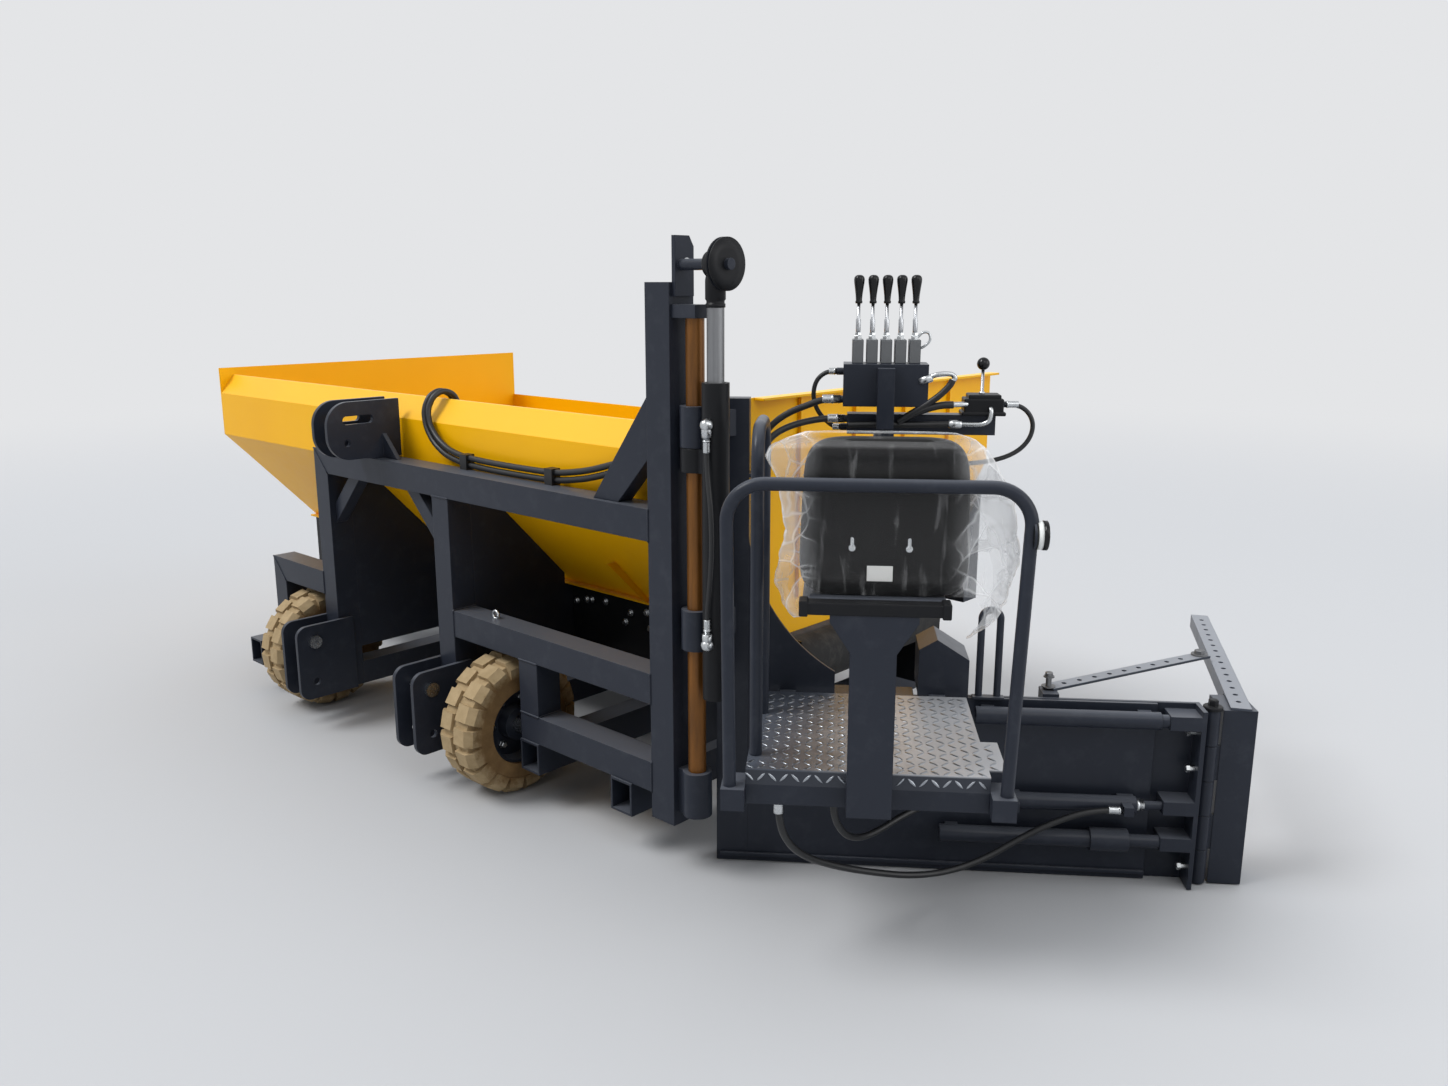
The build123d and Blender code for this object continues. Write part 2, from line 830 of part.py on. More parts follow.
# Routes in the machine's frame: the clipped pair from the mast along the top rail and over the hopper's rim.
rail_hose_lower = [(-122, 92, 1296), (-216, 92, 1281), (-340, 93, 1246), (-480, 93, 1207), (-640, 92, 1182),
                   (-830, 89, 1180), (-1030, 88, 1181), (-1190, 92, 1188), (-1300, 100, 1206),
                   (-1385, 108, 1243), (-1440, 113, 1300), (-1462, 122, 1362), (-1458, 148, 1414),
                   (-1450, 190, 1434), (-1442, 232, 1416), (-1438, 248, 1372), (-1437, 238, 1328),
                   (-1436, 204, 1302), (-1436, 162, 1296)]
rail_hose_upper = [(-122, 92, 1322), (-216, 92, 1307), (-340, 93, 1272), (-480, 93, 1233), (-640, 92, 1208),
                   (-830, 89, 1206), (-1030, 88, 1207), (-1183, 92, 1213), (-1284, 100, 1229),
                   (-1362, 108, 1262), (-1414, 113, 1310), (-1436, 122, 1364), (-1432, 148, 1414),
                   (-1424, 190, 1434), (-1416, 232, 1416), (-1412, 248, 1372), (-1411, 238, 1328),
                   (-1410, 204, 1302), (-1410, 162, 1296)]
lift_turn = math.radians(elbow_angle)
lift_hose_x = lift_centre()[0] + elbow_reach * math.cos(lift_turn)
lift_hose_y = lift_centre()[1] + elbow_reach * math.sin(lift_turn)
lift_hose = [(lift_hose_x + dx, lift_hose_y + dy, z) for dx, dy, z in (
    (0, 0, elbow_z[0] - elbow_drop), (0, 0, 1354), (9, -4, 1290), (23, -9, 1222), (29, -11, 1150),
    (29, -11, 1080), (22, -9, 1010), (12, -5, 950), (0, 0, 890), (0, 0, elbow_z[1] + elbow_drop))]


def rail_hoses():
    lower = hose("rail_hose_lower", rail_hose_lower, rail_hose_diameter)
    pieces = [hose("rail_hose_upper", rail_hose_upper, rail_hose_diameter)]
    for x in clip_x:
        pieces.append(block(x - clip_half, x + clip_half, *clip_y, top_rail_z + tube, clip_top))
    for route in (rail_hose_lower, rail_hose_upper):
        x, y, z = route[0]
        pieces.append(bar_x(x, -tube, y, z, rail_fitting_radius))
        x, y, z = route[-1]
        pieces.append(bar_y(hopper_back + sheet, y, x, z, rail_fitting_radius))
    return [lower.fuse(*pieces)]


nodes["rail_hoses"] = rail_hoses()
nodes["lift_hose"] = [hose("lift_hose", lift_hose, small_hose_diameter)]


# Operator station, in its own frame: the pivot rod is the origin, X along the strike-off, Y forward.
station = {}

# Hose routes in the station's frame, each from one fitting's face to another's.
deck_hose = [(hose_start_x, hose_start_y, hose_start_z), (hose_start_x, hose_start_y, 430), (300, -430, 340),
             (350, -360, 265), (430, -280, 200), (534, -200, 143), (663, -120, 93), (782, -60, 82),
             (890, -25, 112), (985, 0, 165), (1090, 13, 222), (1215, port_y, cylinder_z),
             (port_x, port_y, cylinder_z)]
cross_hose = [(cylinder_left + port_inset, port_y, cylinder_z), (885, port_y, cylinder_z), (790, 0, 284),
              (705, -10, 276), (625, -60, 255), (557, -140, 246), (503, -200, 250), (460, -270, 290),
              (430, -330, 360), (cross_hose_x, cross_hose_y, 428), (cross_hose_x, cross_hose_y, hose_start_z)]
joystick_hose = [(905, 200, 1480), (945, 200, 1480), (978, 200, 1460), (996, 200, 1426), (992, 200, 1386),
                 (968, 200, 1350), (930, 199, 1325), (880, 199, 1309), (810, 200, 1299), (700, 200, 1290),
                 (611, 200, 1290)]
valve_hose = [(406, 200, 1575), (382, 200, 1575), (358, 201, 1562), (342, 203, 1540), (336, 205, 1508),
              (341, 207, 1474), (357, 209, 1444), (380, 211, 1421), (400, 212, 1406), (420, 212, 1406)]
feed_hose_upper = [(172, 145, feed_fitting_top), (172, 145, 1336), (188, 146, 1384), (222, 148, 1426),
                   (270, 151, 1457), (322, 154, 1477), (368, 158, 1495), (406, 158, 1495)]
feed_hose_lower = [(188, 116, feed_fitting_top), (188, 116, 1330), (198, 122, 1362), (220, 132, 1388),
                   (254, 145, 1408), (298, 160, 1422), (345, 175, 1431), (385, 186, 1434), (420, 186, 1434)]
# Hoses: name, route, diameter.
station_hoses = (
    ("deck_hose", deck_hose, hose_diameter),
    ("cross_hose", cross_hose, hose_diameter),
    ("joystick_hose", joystick_hose, small_hose_diameter),
    ("valve_hose", valve_hose, small_hose_diameter),
    ("feed_hose_upper", feed_hose_upper, hose_diameter),
    ("feed_hose_lower", feed_hose_lower, hose_diameter),
)
for name, route, diameter in station_hoses:
    station[name] = [hose(name, route, diameter)]


def swing_collars():
    arm = [(-collar_radius, 0), (station_post_x, station_y), (station_post_x + arm_toe, station_y), arm_neck]
    collars = []
    for low, high in collar_z:
        body = bar_z(low, high, 0, 0, collar_radius) + prism_z(arm, low + arm_inset, high - arm_inset)
        collars.append(body - bar_z(low - 1, high + 1, 0, 0, pivot_radius + running_fit))
    return collars


def station_post():
    post = block(station_post_x, station_post_x + station_post_wide, station_y, station_y + station_post_deep,
                 station_low, station_top)
    low, high = feed_bracket_z
    bracket = block(station_post_x + station_post_wide, feed_bracket_right, station_y,
                    station_y + station_post_deep, low, high)
    for x, y, z in (feed_hose_upper[0], feed_hose_lower[0]):
        bracket += bar_z(high, z, x, y, small_fitting_radius)
    return [post.fuse(bracket, *swing_collars())]


def strike_off():
    left = station_post_x + station_post_wide
    wall = block(left, screed_right, station_y, station_y + screed_plate, station_low, screed_high)
    toe_foot = (web_toe[0], screed_high)
    sweep_edge = Line((left, screed_high), (left, web_high))
    sweep_edge += ThreePointArc((left, web_high), web_bend, web_toe)
    sweep_edge += Line(web_toe, toe_foot) + Line(toe_foot, (left, screed_high))
    wall += extrude(Plane.XZ.offset(-station_y - screed_plate) * make_face(sweep_edge), amount=screed_plate)
    flange = block(left, screed_right, station_y + screed_plate, station_y + screed_flange,
                   screed_high - screed_plate, screed_high)
    cut = block(slide_plate_left - side_room - flange_gap, screed_right + 1, station_y + screed_plate,
                station_y + screed_flange + 1, 0, screed_high + 1)
    return [wall + flange - cut]


def guide_tubes():
    tubes = []
    for left, right, z, end_radius in guides:
        shell = bar_x(left, right, guide_y, z, guide_radius)
        if end_radius > guide_radius:
            shell += bar_x(right - guide_sleeve_long, right, guide_y, z, end_radius)
        shell -= bar_x(left - 1, right + 1, guide_y, z, guide_rod_radius + running_fit)
        for x in (left + guide_foot_inset, right - guide_foot_inset - guide_foot):
            foot = block(x, x + guide_foot, guide_y, station_y, z - guide_foot / 2, z + guide_foot / 2)
            shell += foot - bar_x(x - 1, x + guide_foot + 1, guide_y, z, guide_radius - 2)
        tubes.append(shell)
    return tubes


def slide_cylinder():
    shell = bar_x(cylinder_left, cylinder_right, guide_y, cylinder_z, cylinder_radius)
    shell -= bar_x(cylinder_left + cylinder_end, cylinder_right + 1, guide_y, cylinder_z,
                   cylinder_rod_radius + running_fit)
    half = cylinder_foot_high / 2
    for x in (cylinder_left, cylinder_right - cylinder_foot):
        foot = block(x, x + cylinder_foot, guide_y, station_y, cylinder_z - half, cylinder_z + half)
        shell += foot - bar_x(x - 1, x + cylinder_foot + 1, guide_y, cylinder_z, cylinder_radius - 2)
    for x in (cylinder_left + port_inset, port_x):
        shell += block(x, x + port_size, port_y - port_size / 2, guide_y - cylinder_radius + 6,
                       cylinder_z - port_size / 2, cylinder_z + port_size / 2)
    return [shell]


def deck_frame():
    under = deck_top - deck_plate
    front = deck_back + deck_plate
    frame = block(deck_left, deck_right, deck_back, front, deck_top - deck_skirt, deck_top - deck_lip)
    for x in (deck_left + bearer_inset, deck_right - bearer_inset - bearer_wide):
        frame += block(x, x + bearer_wide, front, station_y, under - bearer_high, under)
    frame += bar_z(hose_start_z, under - bearer_high, hose_start_x, hose_start_y, fitting_radius)
    return [frame, bar_z(hose_start_z, under, cross_hose_x, cross_hose_y, fitting_radius)]


def deck():
    top = block(deck_left, deck_right, deck_back, deck_front, deck_top - deck_plate, deck_top)
    lip = block(deck_left, deck_right, deck_back, deck_back + deck_plate, deck_top - deck_lip, deck_top)
    for x in (deck_left, deck_right - deck_plate):
        lip += block(x, x + deck_plate, deck_back + deck_plate, deck_front,
                     deck_top - deck_side_lip, deck_top)
    lip += block(deck_right, deck_right + step_wide, step_back, step_front, deck_top - deck_plate, deck_top)
    return [top + lip]


def seat_post():
    back = deck_back - seat_post_deep
    left, right = seat_post_left, seat_post_left + seat_post_wide
    middle = (left + right) / 2
    neck = seat_rail_z - seat_head_high
    lip = seat_rail_z - seat_lip_high
    stem = block(left, right, back, deck_back, deck_top - deck_skirt, neck)
    head = prism_y([(left, neck), (left - seat_flare, lip), (left - seat_flare, seat_rail_z),
                    (right + seat_flare, seat_rail_z), (right + seat_flare, lip), (right, neck)],
                   back, deck_back)
    shelf = block(middle - seat_shelf_half, middle + seat_shelf_half, back, back + seat_shelf_deep,
                  seat_rail_z, seat_rail_z + seat_shelf_thick)
    return [stem + head + shelf]


def seat_cushion():
    back = deck_back + cushion_inset
    low = seat_rail_z + seat_shelf_thick
    body = block(seat_centre - seat_wide / 2, seat_centre + seat_wide / 2, back, back + cushion_deep,
                 low, low + cushion_high)
    return [fillet(body.edges().filter_by(Axis.Z), cushion_round)]


def seat_back():
    back = deck_back + seat_back_inset
    half = seat_wide / 2 - seat_back_inset
    body = block(seat_centre - half, seat_centre + half, back, back + seat_back_thick,
                 seat_rail_z + seat_shelf_thick, seat_back_top)
    corners = body.edges().filter_by(Axis.Y).group_by(Axis.Z)[-1]
    return [fillet(corners, seat_back_round)]


def railing():
    y = deck_back - rail_setback
    foot = deck_top - rail_foot
    path = FilletPolyline((rail_left + rail_lean, y, foot), (rail_left, y, rail_top),
                          (rail_right + rail_splay, y, rail_top), (rail_right, y, foot), radius=rail_bend)
    low, high = (deck_top - drop for drop in rail_lug_drop)
    spans = ((rail_left - rail_lug_half, deck_left), (deck_right, rail_right + 2 * rail_lug_half))
    lugs = [block(x0, x1, y - rail_lug_back, deck_back + rail_lug_front, low, high) for x0, x1 in spans]
    lamp_x = rail_right + rail_splay
    lamp = bar_x(lamp_x, lamp_x + lamp_deep, y, lamp_z, lamp_radius)
    return [pipe(path, rail_radius).fuse(lamp, *lugs)]


def hand_rails():
    x, top = side_rail_x, side_rail_top
    side = FilletPolyline((x, side_rail_back, deck_top), (x, side_rail_back, top), (x, side_rail_front, top),
                          (x, side_rail_front, deck_top), radius=rail_bend)
    grip_y = station_y + screed_plate / 2
    foot = screed_high + grip_foot
    grip = FilletPolyline((grip_left, grip_y, foot), (grip_left, grip_y, grip_top),
                          (grip_right, grip_y, grip_top), (grip_right, grip_y, foot), radius=grip_bend)
    base = block(grip_left - grip_base, grip_right + grip_base, grip_y - grip_base,
                 station_y + screed_plate + 2, screed_high, foot)
    return [pipe(side, rail_radius), pipe(grip, grip_radius) + base]


def tool_box():
    low = screed_high + side_room + 2
    outline = [(box_left, low), (box_left, box_shoulder), (box_peak_x, box_peak), (box_right, box_nose),
               (box_right, low)]
    body = prism_y(outline, station_y, box_front)
    foot = block(box_left, box_right, station_y, station_y + screed_plate, screed_high, low)
    return [body + foot]


def control_column():
    half = control_tube / 2
    stem = block(control_x - half, control_x + half, control_y - half, control_y + half,
                 screed_high, cross_bar_z)
    foot = block(control_x - half, control_x + half, station_y, control_y + half, screed_high,
                 screed_high + column_foot)
    arm = block(cross_bar_left, cross_bar_right, control_y - half, control_y + half, cross_bar_z,
                cross_bar_z + control_tube)
    side = valve_bracket_half
    bracket = block(control_x - side, control_x + side, control_y - side, control_y + side,
                    cross_bar_z + control_tube, valve_box_low)
    back = control_y - valve_box_deep / 2
    wide = valve_tube_wide / 2
    top = cross_bar_z + control_tube
    bracket += block(control_x - wide, control_x + wide, back - valve_tube_deep, back, *valve_tube_z)
    bracket += block(control_x - wide, control_x + wide, back, control_y - half, top - valve_link_high, top)
    body = stem + foot + arm + bracket
    for x, y, z in (feed_hose_lower[-1], valve_hose[-1]):
        body += bar_x(x, cross_bar_left, y, z, small_fitting_radius)
    x, y, z = joystick_hose[-1]
    return [body + bar_x(control_x + half, x, y, z, small_fitting_radius)]


def lever_places():
    first = control_x - lever_pitch * (lever_count - 1) / 2
    return [first + i * lever_pitch for i in range(lever_count)]


def valve_bank():
    wide, deep = valve_box_wide / 2, valve_box_deep / 2
    bank = block(control_x - wide, control_x + wide, control_y - deep, control_y + deep,
                 valve_box_low, valve_box_high)
    for x in lever_places():
        bank += block(x - spool_wide / 2, x + spool_wide / 2, control_y - spool_deep / 2,
                      control_y + spool_deep / 2, valve_box_high, valve_box_high + valve_high)
    for x, y, z in (feed_hose_upper[-1], valve_hose[0]):
        bank += bar_x(x, control_x - wide, y, z, small_fitting_radius)
    return bank


def joystick_valve():
    low = cross_bar_z + control_tube
    body = block(joystick_x - joystick_half, joystick_x + joystick_half, control_y - joystick_half,
                 control_y + joystick_half, low, low + joystick_high)
    x, y, z = joystick_hose[0]
    return body + bar_x(joystick_x + joystick_half, x, y, z, small_fitting_radius)


def knob():
    low = lever_top - knob_high
    shoulder = lever_top - knob_radius
    slant = knob_radius * math.sqrt(0.5)
    edge = Polyline((0, lever_top), (0, low), (knob_foot_radius, low), (knob_radius, shoulder))
    edge += ThreePointArc((knob_radius, shoulder), (slant, shoulder + slant), (0, lever_top))
    return revolve(Plane.XZ * make_face(edge), Axis.Z)


def levers():
    base = valve_box_high + valve_high
    stem = bar_z(base, lever_top - knob_high, 0, 0, lever_radius)
    handles = [Pos(x, control_y, 0) * (stem + knob()) for x in lever_places()]
    foot = cross_bar_z + control_tube + joystick_high
    stick = bar_z(foot, foot + joystick_long, joystick_x, control_y, lever_radius)
    return handles + [stick + Pos(joystick_x, control_y, foot + joystick_long) * Sphere(joystick_ball)]


station["station_post"] = station_post()
station["strike_off"] = strike_off()
station["guide_tubes"] = guide_tubes() + slide_cylinder()
station["deck_frame"] = deck_frame()
station["deck"] = deck()
station["seat_post"] = seat_post()
station["seat_cushion"] = seat_cushion()
station["seat_back"] = seat_back()
station["railing"] = railing()
station["hand_rails"] = hand_rails()
station["tool_box"] = tool_box()
station["control_column"] = control_column()
station["valve_bank"] = [valve_bank(), joystick_valve()]
station["levers"] = levers()


# Sliding extension of the strike-off
slide_y = station_y + screed_plate + side_room


def knuckle_span(i):
    high = (wing_high - station_low) / hinge_knuckles
    return station_low + i * high + hinge_gap / 2, station_low + (i + 1) * high - hinge_gap / 2


def hinge_leaf(first, reach):
    leaf = None
    for i in range(first, hinge_knuckles, 2):
        low, high = knuckle_span(i)
        knuckle = bar_z(low, high, hinge_x, hinge_y, hinge_radius)
        left, right = sorted((hinge_x, reach))
        knuckle += block(left, right, hinge_y - leaf_half, hinge_y + leaf_half, low, high)
        knuckle -= bar_z(low - 1, high + 1, hinge_x, hinge_y, hinge_pin_radius + running_fit)
        leaf = knuckle if leaf is None else leaf + knuckle
    return leaf


def slide_screed():
    front = slide_y + slide_plate
    body = block(slide_plate_left, slide_plate_right, slide_y, front, station_low, screed_high)
    body += block(slide_plate_right - end_plate, slide_plate_right, end_frame_back, slide_y,
                  station_low, screed_high)
    for z in shelf_z:
        body += block(end_frame_left, slide_plate_right, end_frame_back, slide_y, z, z + shelf_high)
    body += block(stay_x - stay_seat, stay_x + stay_seat, front, stay_y + stay_seat,
                  screed_high - stay_seat_high, stay_low)
    return [body + hinge_leaf(0, slide_plate_right)]


def guide_rods():
    # left end, height, radius
    rods = [(left, z, guide_rod_radius) for left, right, z, end_radius in guides]
    rods.append((cylinder_left, cylinder_z, cylinder_rod_radius))
    return [bar_x(left + rod_overlap, end_frame_left, guide_y, z, radius) for left, z, radius in rods]


station["slide_screed"] = slide_screed()
station["guide_rods"] = guide_rods()
station["hinge_pin"] = [bar_z(station_low, wing_high + 14, hinge_x, hinge_y, hinge_pin_radius)]


# End wing with its perforated bars
def perforated_bar(long, wide, thick, low, first):
    bar = block(0, long, -wide / 2, wide / 2, low, low + thick)
    count = int((long - 2 * first) / bar_hole_pitch) + 1
    for i in range(count):
        bar -= bar_z(low - 1, low + thick + 1, first + i * bar_hole_pitch, 0, bar_hole_radius)
    return bar


def wing_bar():
    angle = perforated_bar(bar_long, bar_wide, bar_thick, wing_high, bar_end)
    leg_start = wing_front - wing_back + bar_leg_gap
    edge = bar_wide / 2
    angle += block(leg_start, bar_long, edge - bar_thick, edge, wing_high - bar_leg, wing_high)
    x = wing_left + wing_wide / 2
    return Pos(x, wing_back, 0) * Rot(0, 0, 90 - bar_tilt) * angle


def stay_bar():
    bar = perforated_bar(stay_long, stay_wide, bar_thick, stay_low, bar_hole_pitch)
    return Pos(stay_x, stay_y, 0) * Rot(0, 0, stay_turn) * bar


wing = block(wing_left, wing_left + wing_wide, wing_back, wing_front, station_low, wing_high)
station["end_wing"] = [wing + hinge_leaf(1, wing_left)]
station["wing_bar"] = [wing_bar()]
station["stay_bar"] = [stay_bar()]

station_place = Location((pivot_x, pivot_y, 0), (0, 0, swing_rest))
for name, solids in station.items():
    nodes[name] = [station_place * solid for solid in solids]

# The origin is the middle of the machine's box, on the ground.
box = Compound([solid for solids in nodes.values() for solid in solids]).bounding_box()
centre = Pos(-(box.min.X + box.max.X) / 2, -(box.min.Y + box.max.Y) / 2, -box.min.Z)
os.makedirs("parts", exist_ok=True)
for name, solids in nodes.items():
    export_step(Compound([centre * solid for solid in solids]), f"parts/{name}.step")
print("origin moved by", centre.position)
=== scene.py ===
import math

import bmesh
import bpy
import numpy as np
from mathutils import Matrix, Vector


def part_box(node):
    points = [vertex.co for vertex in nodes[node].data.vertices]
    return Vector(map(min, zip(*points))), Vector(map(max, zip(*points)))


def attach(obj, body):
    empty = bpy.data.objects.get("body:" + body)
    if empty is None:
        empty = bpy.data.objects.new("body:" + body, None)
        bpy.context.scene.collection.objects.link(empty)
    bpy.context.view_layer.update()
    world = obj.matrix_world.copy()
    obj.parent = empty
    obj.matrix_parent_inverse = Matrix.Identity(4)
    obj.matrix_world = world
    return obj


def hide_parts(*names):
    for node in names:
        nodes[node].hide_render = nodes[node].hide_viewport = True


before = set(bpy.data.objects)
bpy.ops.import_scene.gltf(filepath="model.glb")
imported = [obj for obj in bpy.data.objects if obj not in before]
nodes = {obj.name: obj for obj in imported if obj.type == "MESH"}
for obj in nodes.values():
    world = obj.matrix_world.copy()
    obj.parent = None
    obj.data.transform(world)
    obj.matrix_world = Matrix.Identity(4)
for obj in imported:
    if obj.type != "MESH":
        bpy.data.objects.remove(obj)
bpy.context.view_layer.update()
print("frame loaded:", len(nodes), "nodes")

# Places. The machine's own frame starts at the mast's outer rear foot, on the ground; its points are in millimetres.
mastLow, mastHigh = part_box("mast_post")
machineZero = np.array((mastHigh.x, mastLow.y, 0.0))
pivotLow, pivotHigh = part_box("pivot_rod")
pivotZero = np.array(((pivotLow.x + pivotHigh.x) / 2, (pivotLow.y + pivotHigh.y) / 2, 0.0))
swingRest = math.radians(37)    # the station stands this far ahead of square
alongStation = np.array((math.cos(swingRest), math.sin(swingRest), 0.0))
aheadStation = np.array((-math.sin(swingRest), math.cos(swingRest), 0.0))
upright = np.array((0.0, 0.0, 1.0))
stationTurn = np.array((alongStation, aheadStation, upright))


def inMachine(points):
    # machine millimetres to metres of the shared frame
    return np.asarray(points, float) / 1000 + machineZero


def inStation(points):
    # station millimetres, from the pivot rod along and ahead of the strike-off, to metres of the shared frame
    return np.asarray(points, float) / 1000 @ stationTurn + pivotZero


# Camera at the photograph's place
camera = dict(place=(2.364, -2.35, 1.83), tilt=77.3, turn=42.48, focal=1147, wide=1448)    # focal, wide in pixels
cameraData = bpy.data.cameras.new("photoCamera")
cameraData.sensor_width = 36
cameraData.lens = 36 * camera["focal"] / camera["wide"]
cameraObject = bpy.data.objects.new("photoCamera", cameraData)
bpy.context.scene.collection.objects.link(cameraObject)
cameraObject.location = machineZero + np.array(camera["place"])
cameraObject.rotation_euler = (math.radians(camera["tilt"]), 0, math.radians(camera["turn"]))
bpy.context.scene.camera = cameraObject
print("camera set")


# Colours and node building
def linear(hexText):
    # sRGB hex to linear: c/12.92 below 0.04045, else ((c+0.055)/1.055)^2.4
    srgb = np.array([int(hexText[i:i + 2], 16) / 255 for i in (1, 3, 5)])
    flat = np.where(srgb <= 0.04045, srgb / 12.92, ((srgb + 0.055) / 1.055) ** 2.4)
    return (*flat.tolist(), 1.0)


def addNode(tree, kind, values=None, wires=None, **settings):
    # each wire comes from a socket, or from a node's first open output
    made = tree.nodes.new("ShaderNode" + kind)
    for name, value in settings.items():
        setattr(made, name, value)
    for name, value in (values or {}).items():
        made.inputs[name].default_value = value
    for name, source in (wires or {}).items():
        whole = isinstance(source, bpy.types.Node)
        tree.links.new(next(s for s in source.outputs if s.enabled) if whole else source, made.inputs[name])
    return made


def newMaterial(name):
    made = bpy.data.materials.new(name)
    made.use_nodes = True
    made.node_tree.nodes.clear()
    tree = made.node_tree
    return made, tree, addNode(tree, "TexCoord").outputs["Object"]


def perMetre(millimetres):
    # noise and voronoi cells are about 1/scale across, so a real size gives the scale
    return 1000 / millimetres


def finishSurface(tree, **looks):
    # each look is a plain value or the node that gives it
    rename = {"colour": "Base Color", "roughness": "Roughness", "metallic": "Metallic", "normal": "Normal",
              "alpha": "Alpha", "specular": "Specular IOR Level"}
    wires = {rename[k]: v for k, v in looks.items() if isinstance(v, bpy.types.Node)}
    values = {rename[k]: v for k, v in looks.items() if rename[k] not in wires}
    surface = addNode(tree, "BsdfPrincipled", values, wires)
    addNode(tree, "OutputMaterial", wires={"Surface": surface})


def wornPaint(name, base, shade, dust, peelMm, roughness, dustShare, dustAndLightOnTops):
    # sprayed enamel on welded steel: even colour, broad cloudiness, faint orange peel, thin dust; tops paler with dust
    # and painted light
    made, tree, place = newMaterial(name)
    cloud = addNode(tree, "TexNoise", {"Scale": perMetre(420), "Detail": 4}, {"Vector": place})
    film = addNode(tree, "TexNoise", {"Scale": perMetre(60), "Detail": 8, "Roughness": 0.65}, {"Vector": place})
    body = addNode(tree, "Mix", {"A": linear(base), "B": linear(shade)}, {"Factor": cloud}, data_type="RGBA")
    share = addNode(tree, "MapRange", {"From Min": 0.52, "From Max": 0.78, "To Min": 0.0, "To Max": dustShare},
                    {"Value": film})
    facing = addNode(tree, "SeparateXYZ", wires={"Vector": addNode(tree, "NewGeometry").outputs["Normal"]})
    # upward faces take the dust tone: partly settled dust, partly painted light falling from above
    lying = addNode(tree, "MapRange", {"From Min": 0.5, "From Max": 0.98, "To Min": 0.0, "To Max": dustAndLightOnTops},
                    {"Value": facing.outputs["Z"]})
    dustAndTopLightShare = addNode(tree, "Math", wires={0: share, 1: lying}, operation="ADD")
    dustedAndTopLit = addNode(tree, "Mix", {"B": linear(dust)}, {"Factor": dustAndTopLightShare, "A": body}, data_type="RGBA")
    sheen = addNode(tree, "MapRange", {"To Min": roughness - 0.06, "To Max": roughness + 0.12}, {"Value": film})
    peel = addNode(tree, "TexNoise", {"Scale": perMetre(peelMm), "Detail": 2}, {"Vector": place})
    rounded = addNode(tree, "Bevel", {"Radius": 0.004}, samples=4)    # welded tube has small round edges
    bump = addNode(tree, "Bump", {"Strength": 0.05, "Distance": 0.001}, {"Height": peel, "Normal": rounded})
    finishSurface(tree, colour=dustedAndTopLit, roughness=sheen, normal=bump, specular=0.2)
    return made


tyre = dict(middleY=0.9, halfTrack=0.83, axleZ=0.255)    # metres in the machine's frame


def tanSolidTyre():
    # tan non-marking rubber: chalky and pale on the tread, darker brown towards the rim
    made, tree, place = newMaterial("tanSolidTyre")
    middleY = float(machineZero[1]) + tyre["middleY"]
    split = addNode(tree, "SeparateXYZ", wires={"Vector": place})
    fromMiddle = addNode(tree, "Math", {1: middleY}, {0: split.outputs["Y"]}, operation="SUBTRACT")
    eitherEnd = addNode(tree, "Math", wires={0: fromMiddle}, operation="ABSOLUTE")
    rolled = addNode(tree, "Math", {1: tyre["halfTrack"]}, {0: eitherEnd}, operation="SUBTRACT")
    lifted = addNode(tree, "Math", {1: tyre["axleZ"]}, {0: split.outputs["Z"]}, operation="SUBTRACT")
    spoke = addNode(tree, "CombineXYZ", wires={"Y": rolled, "Z": lifted})
    reach = addNode(tree, "VectorMath", wires={0: spoke}, operation="LENGTH")
    dirt = addNode(tree, "TexNoise", {"Scale": perMetre(45), "Detail": 9, "Roughness": 0.7}, {"Vector": place})
    edge = addNode(tree, "Math", {1: 0.09}, {0: dirt, 2: reach}, operation="MULTIPLY_ADD")
    tread = addNode(tree, "MapRange", {"From Min": 0.235, "From Max": 0.285}, {"Value": edge},
                    interpolation_type="SMOOTHSTEP")
    pale = addNode(tree, "Mix", {"A": linear("#85704D"), "B": linear("#BDA682")}, {"Factor": dirt}, data_type="RGBA")
    brown = addNode(tree, "Mix", {"A": linear("#5A4329"), "B": linear("#94754C")}, {"Factor": dirt}, data_type="RGBA")
    colour = addNode(tree, "Mix", {}, {"Factor": tread, "A": brown, "B": pale}, data_type="RGBA")
    grit = addNode(tree, "TexNoise", {"Scale": perMetre(4), "Detail": 4}, {"Vector": place})
    bump = addNode(tree, "Bump", {"Strength": 0.25, "Distance": 0.001}, {"Height": grit})
    finishSurface(tree, colour=colour, roughness=0.86, normal=bump, specular=0.3)
    return made


def drawnSteel(name, base, shade, roughness, grainMm, stretch):
    # turned or drawn bare steel: fine lines along the bar, bright with a soft streak
    made, tree, place = newMaterial(name)
    along = addNode(tree, "Mapping", {"Scale": stretch}, {"Vector": place})
    grain = addNode(tree, "TexNoise", {"Scale": perMetre(grainMm), "Detail": 6}, {"Vector": along})
    colour = addNode(tree, "Mix", {"A": linear(base), "B": linear(shade)}, {"Factor": grain}, data_type="RGBA")
    rough = addNode(tree, "MapRange", {"To Min": roughness - 0.06, "To Max": roughness + 0.10}, {"Value": grain})
    finishSurface(tree, colour=colour, roughness=rough, metallic=1.0)
    return made


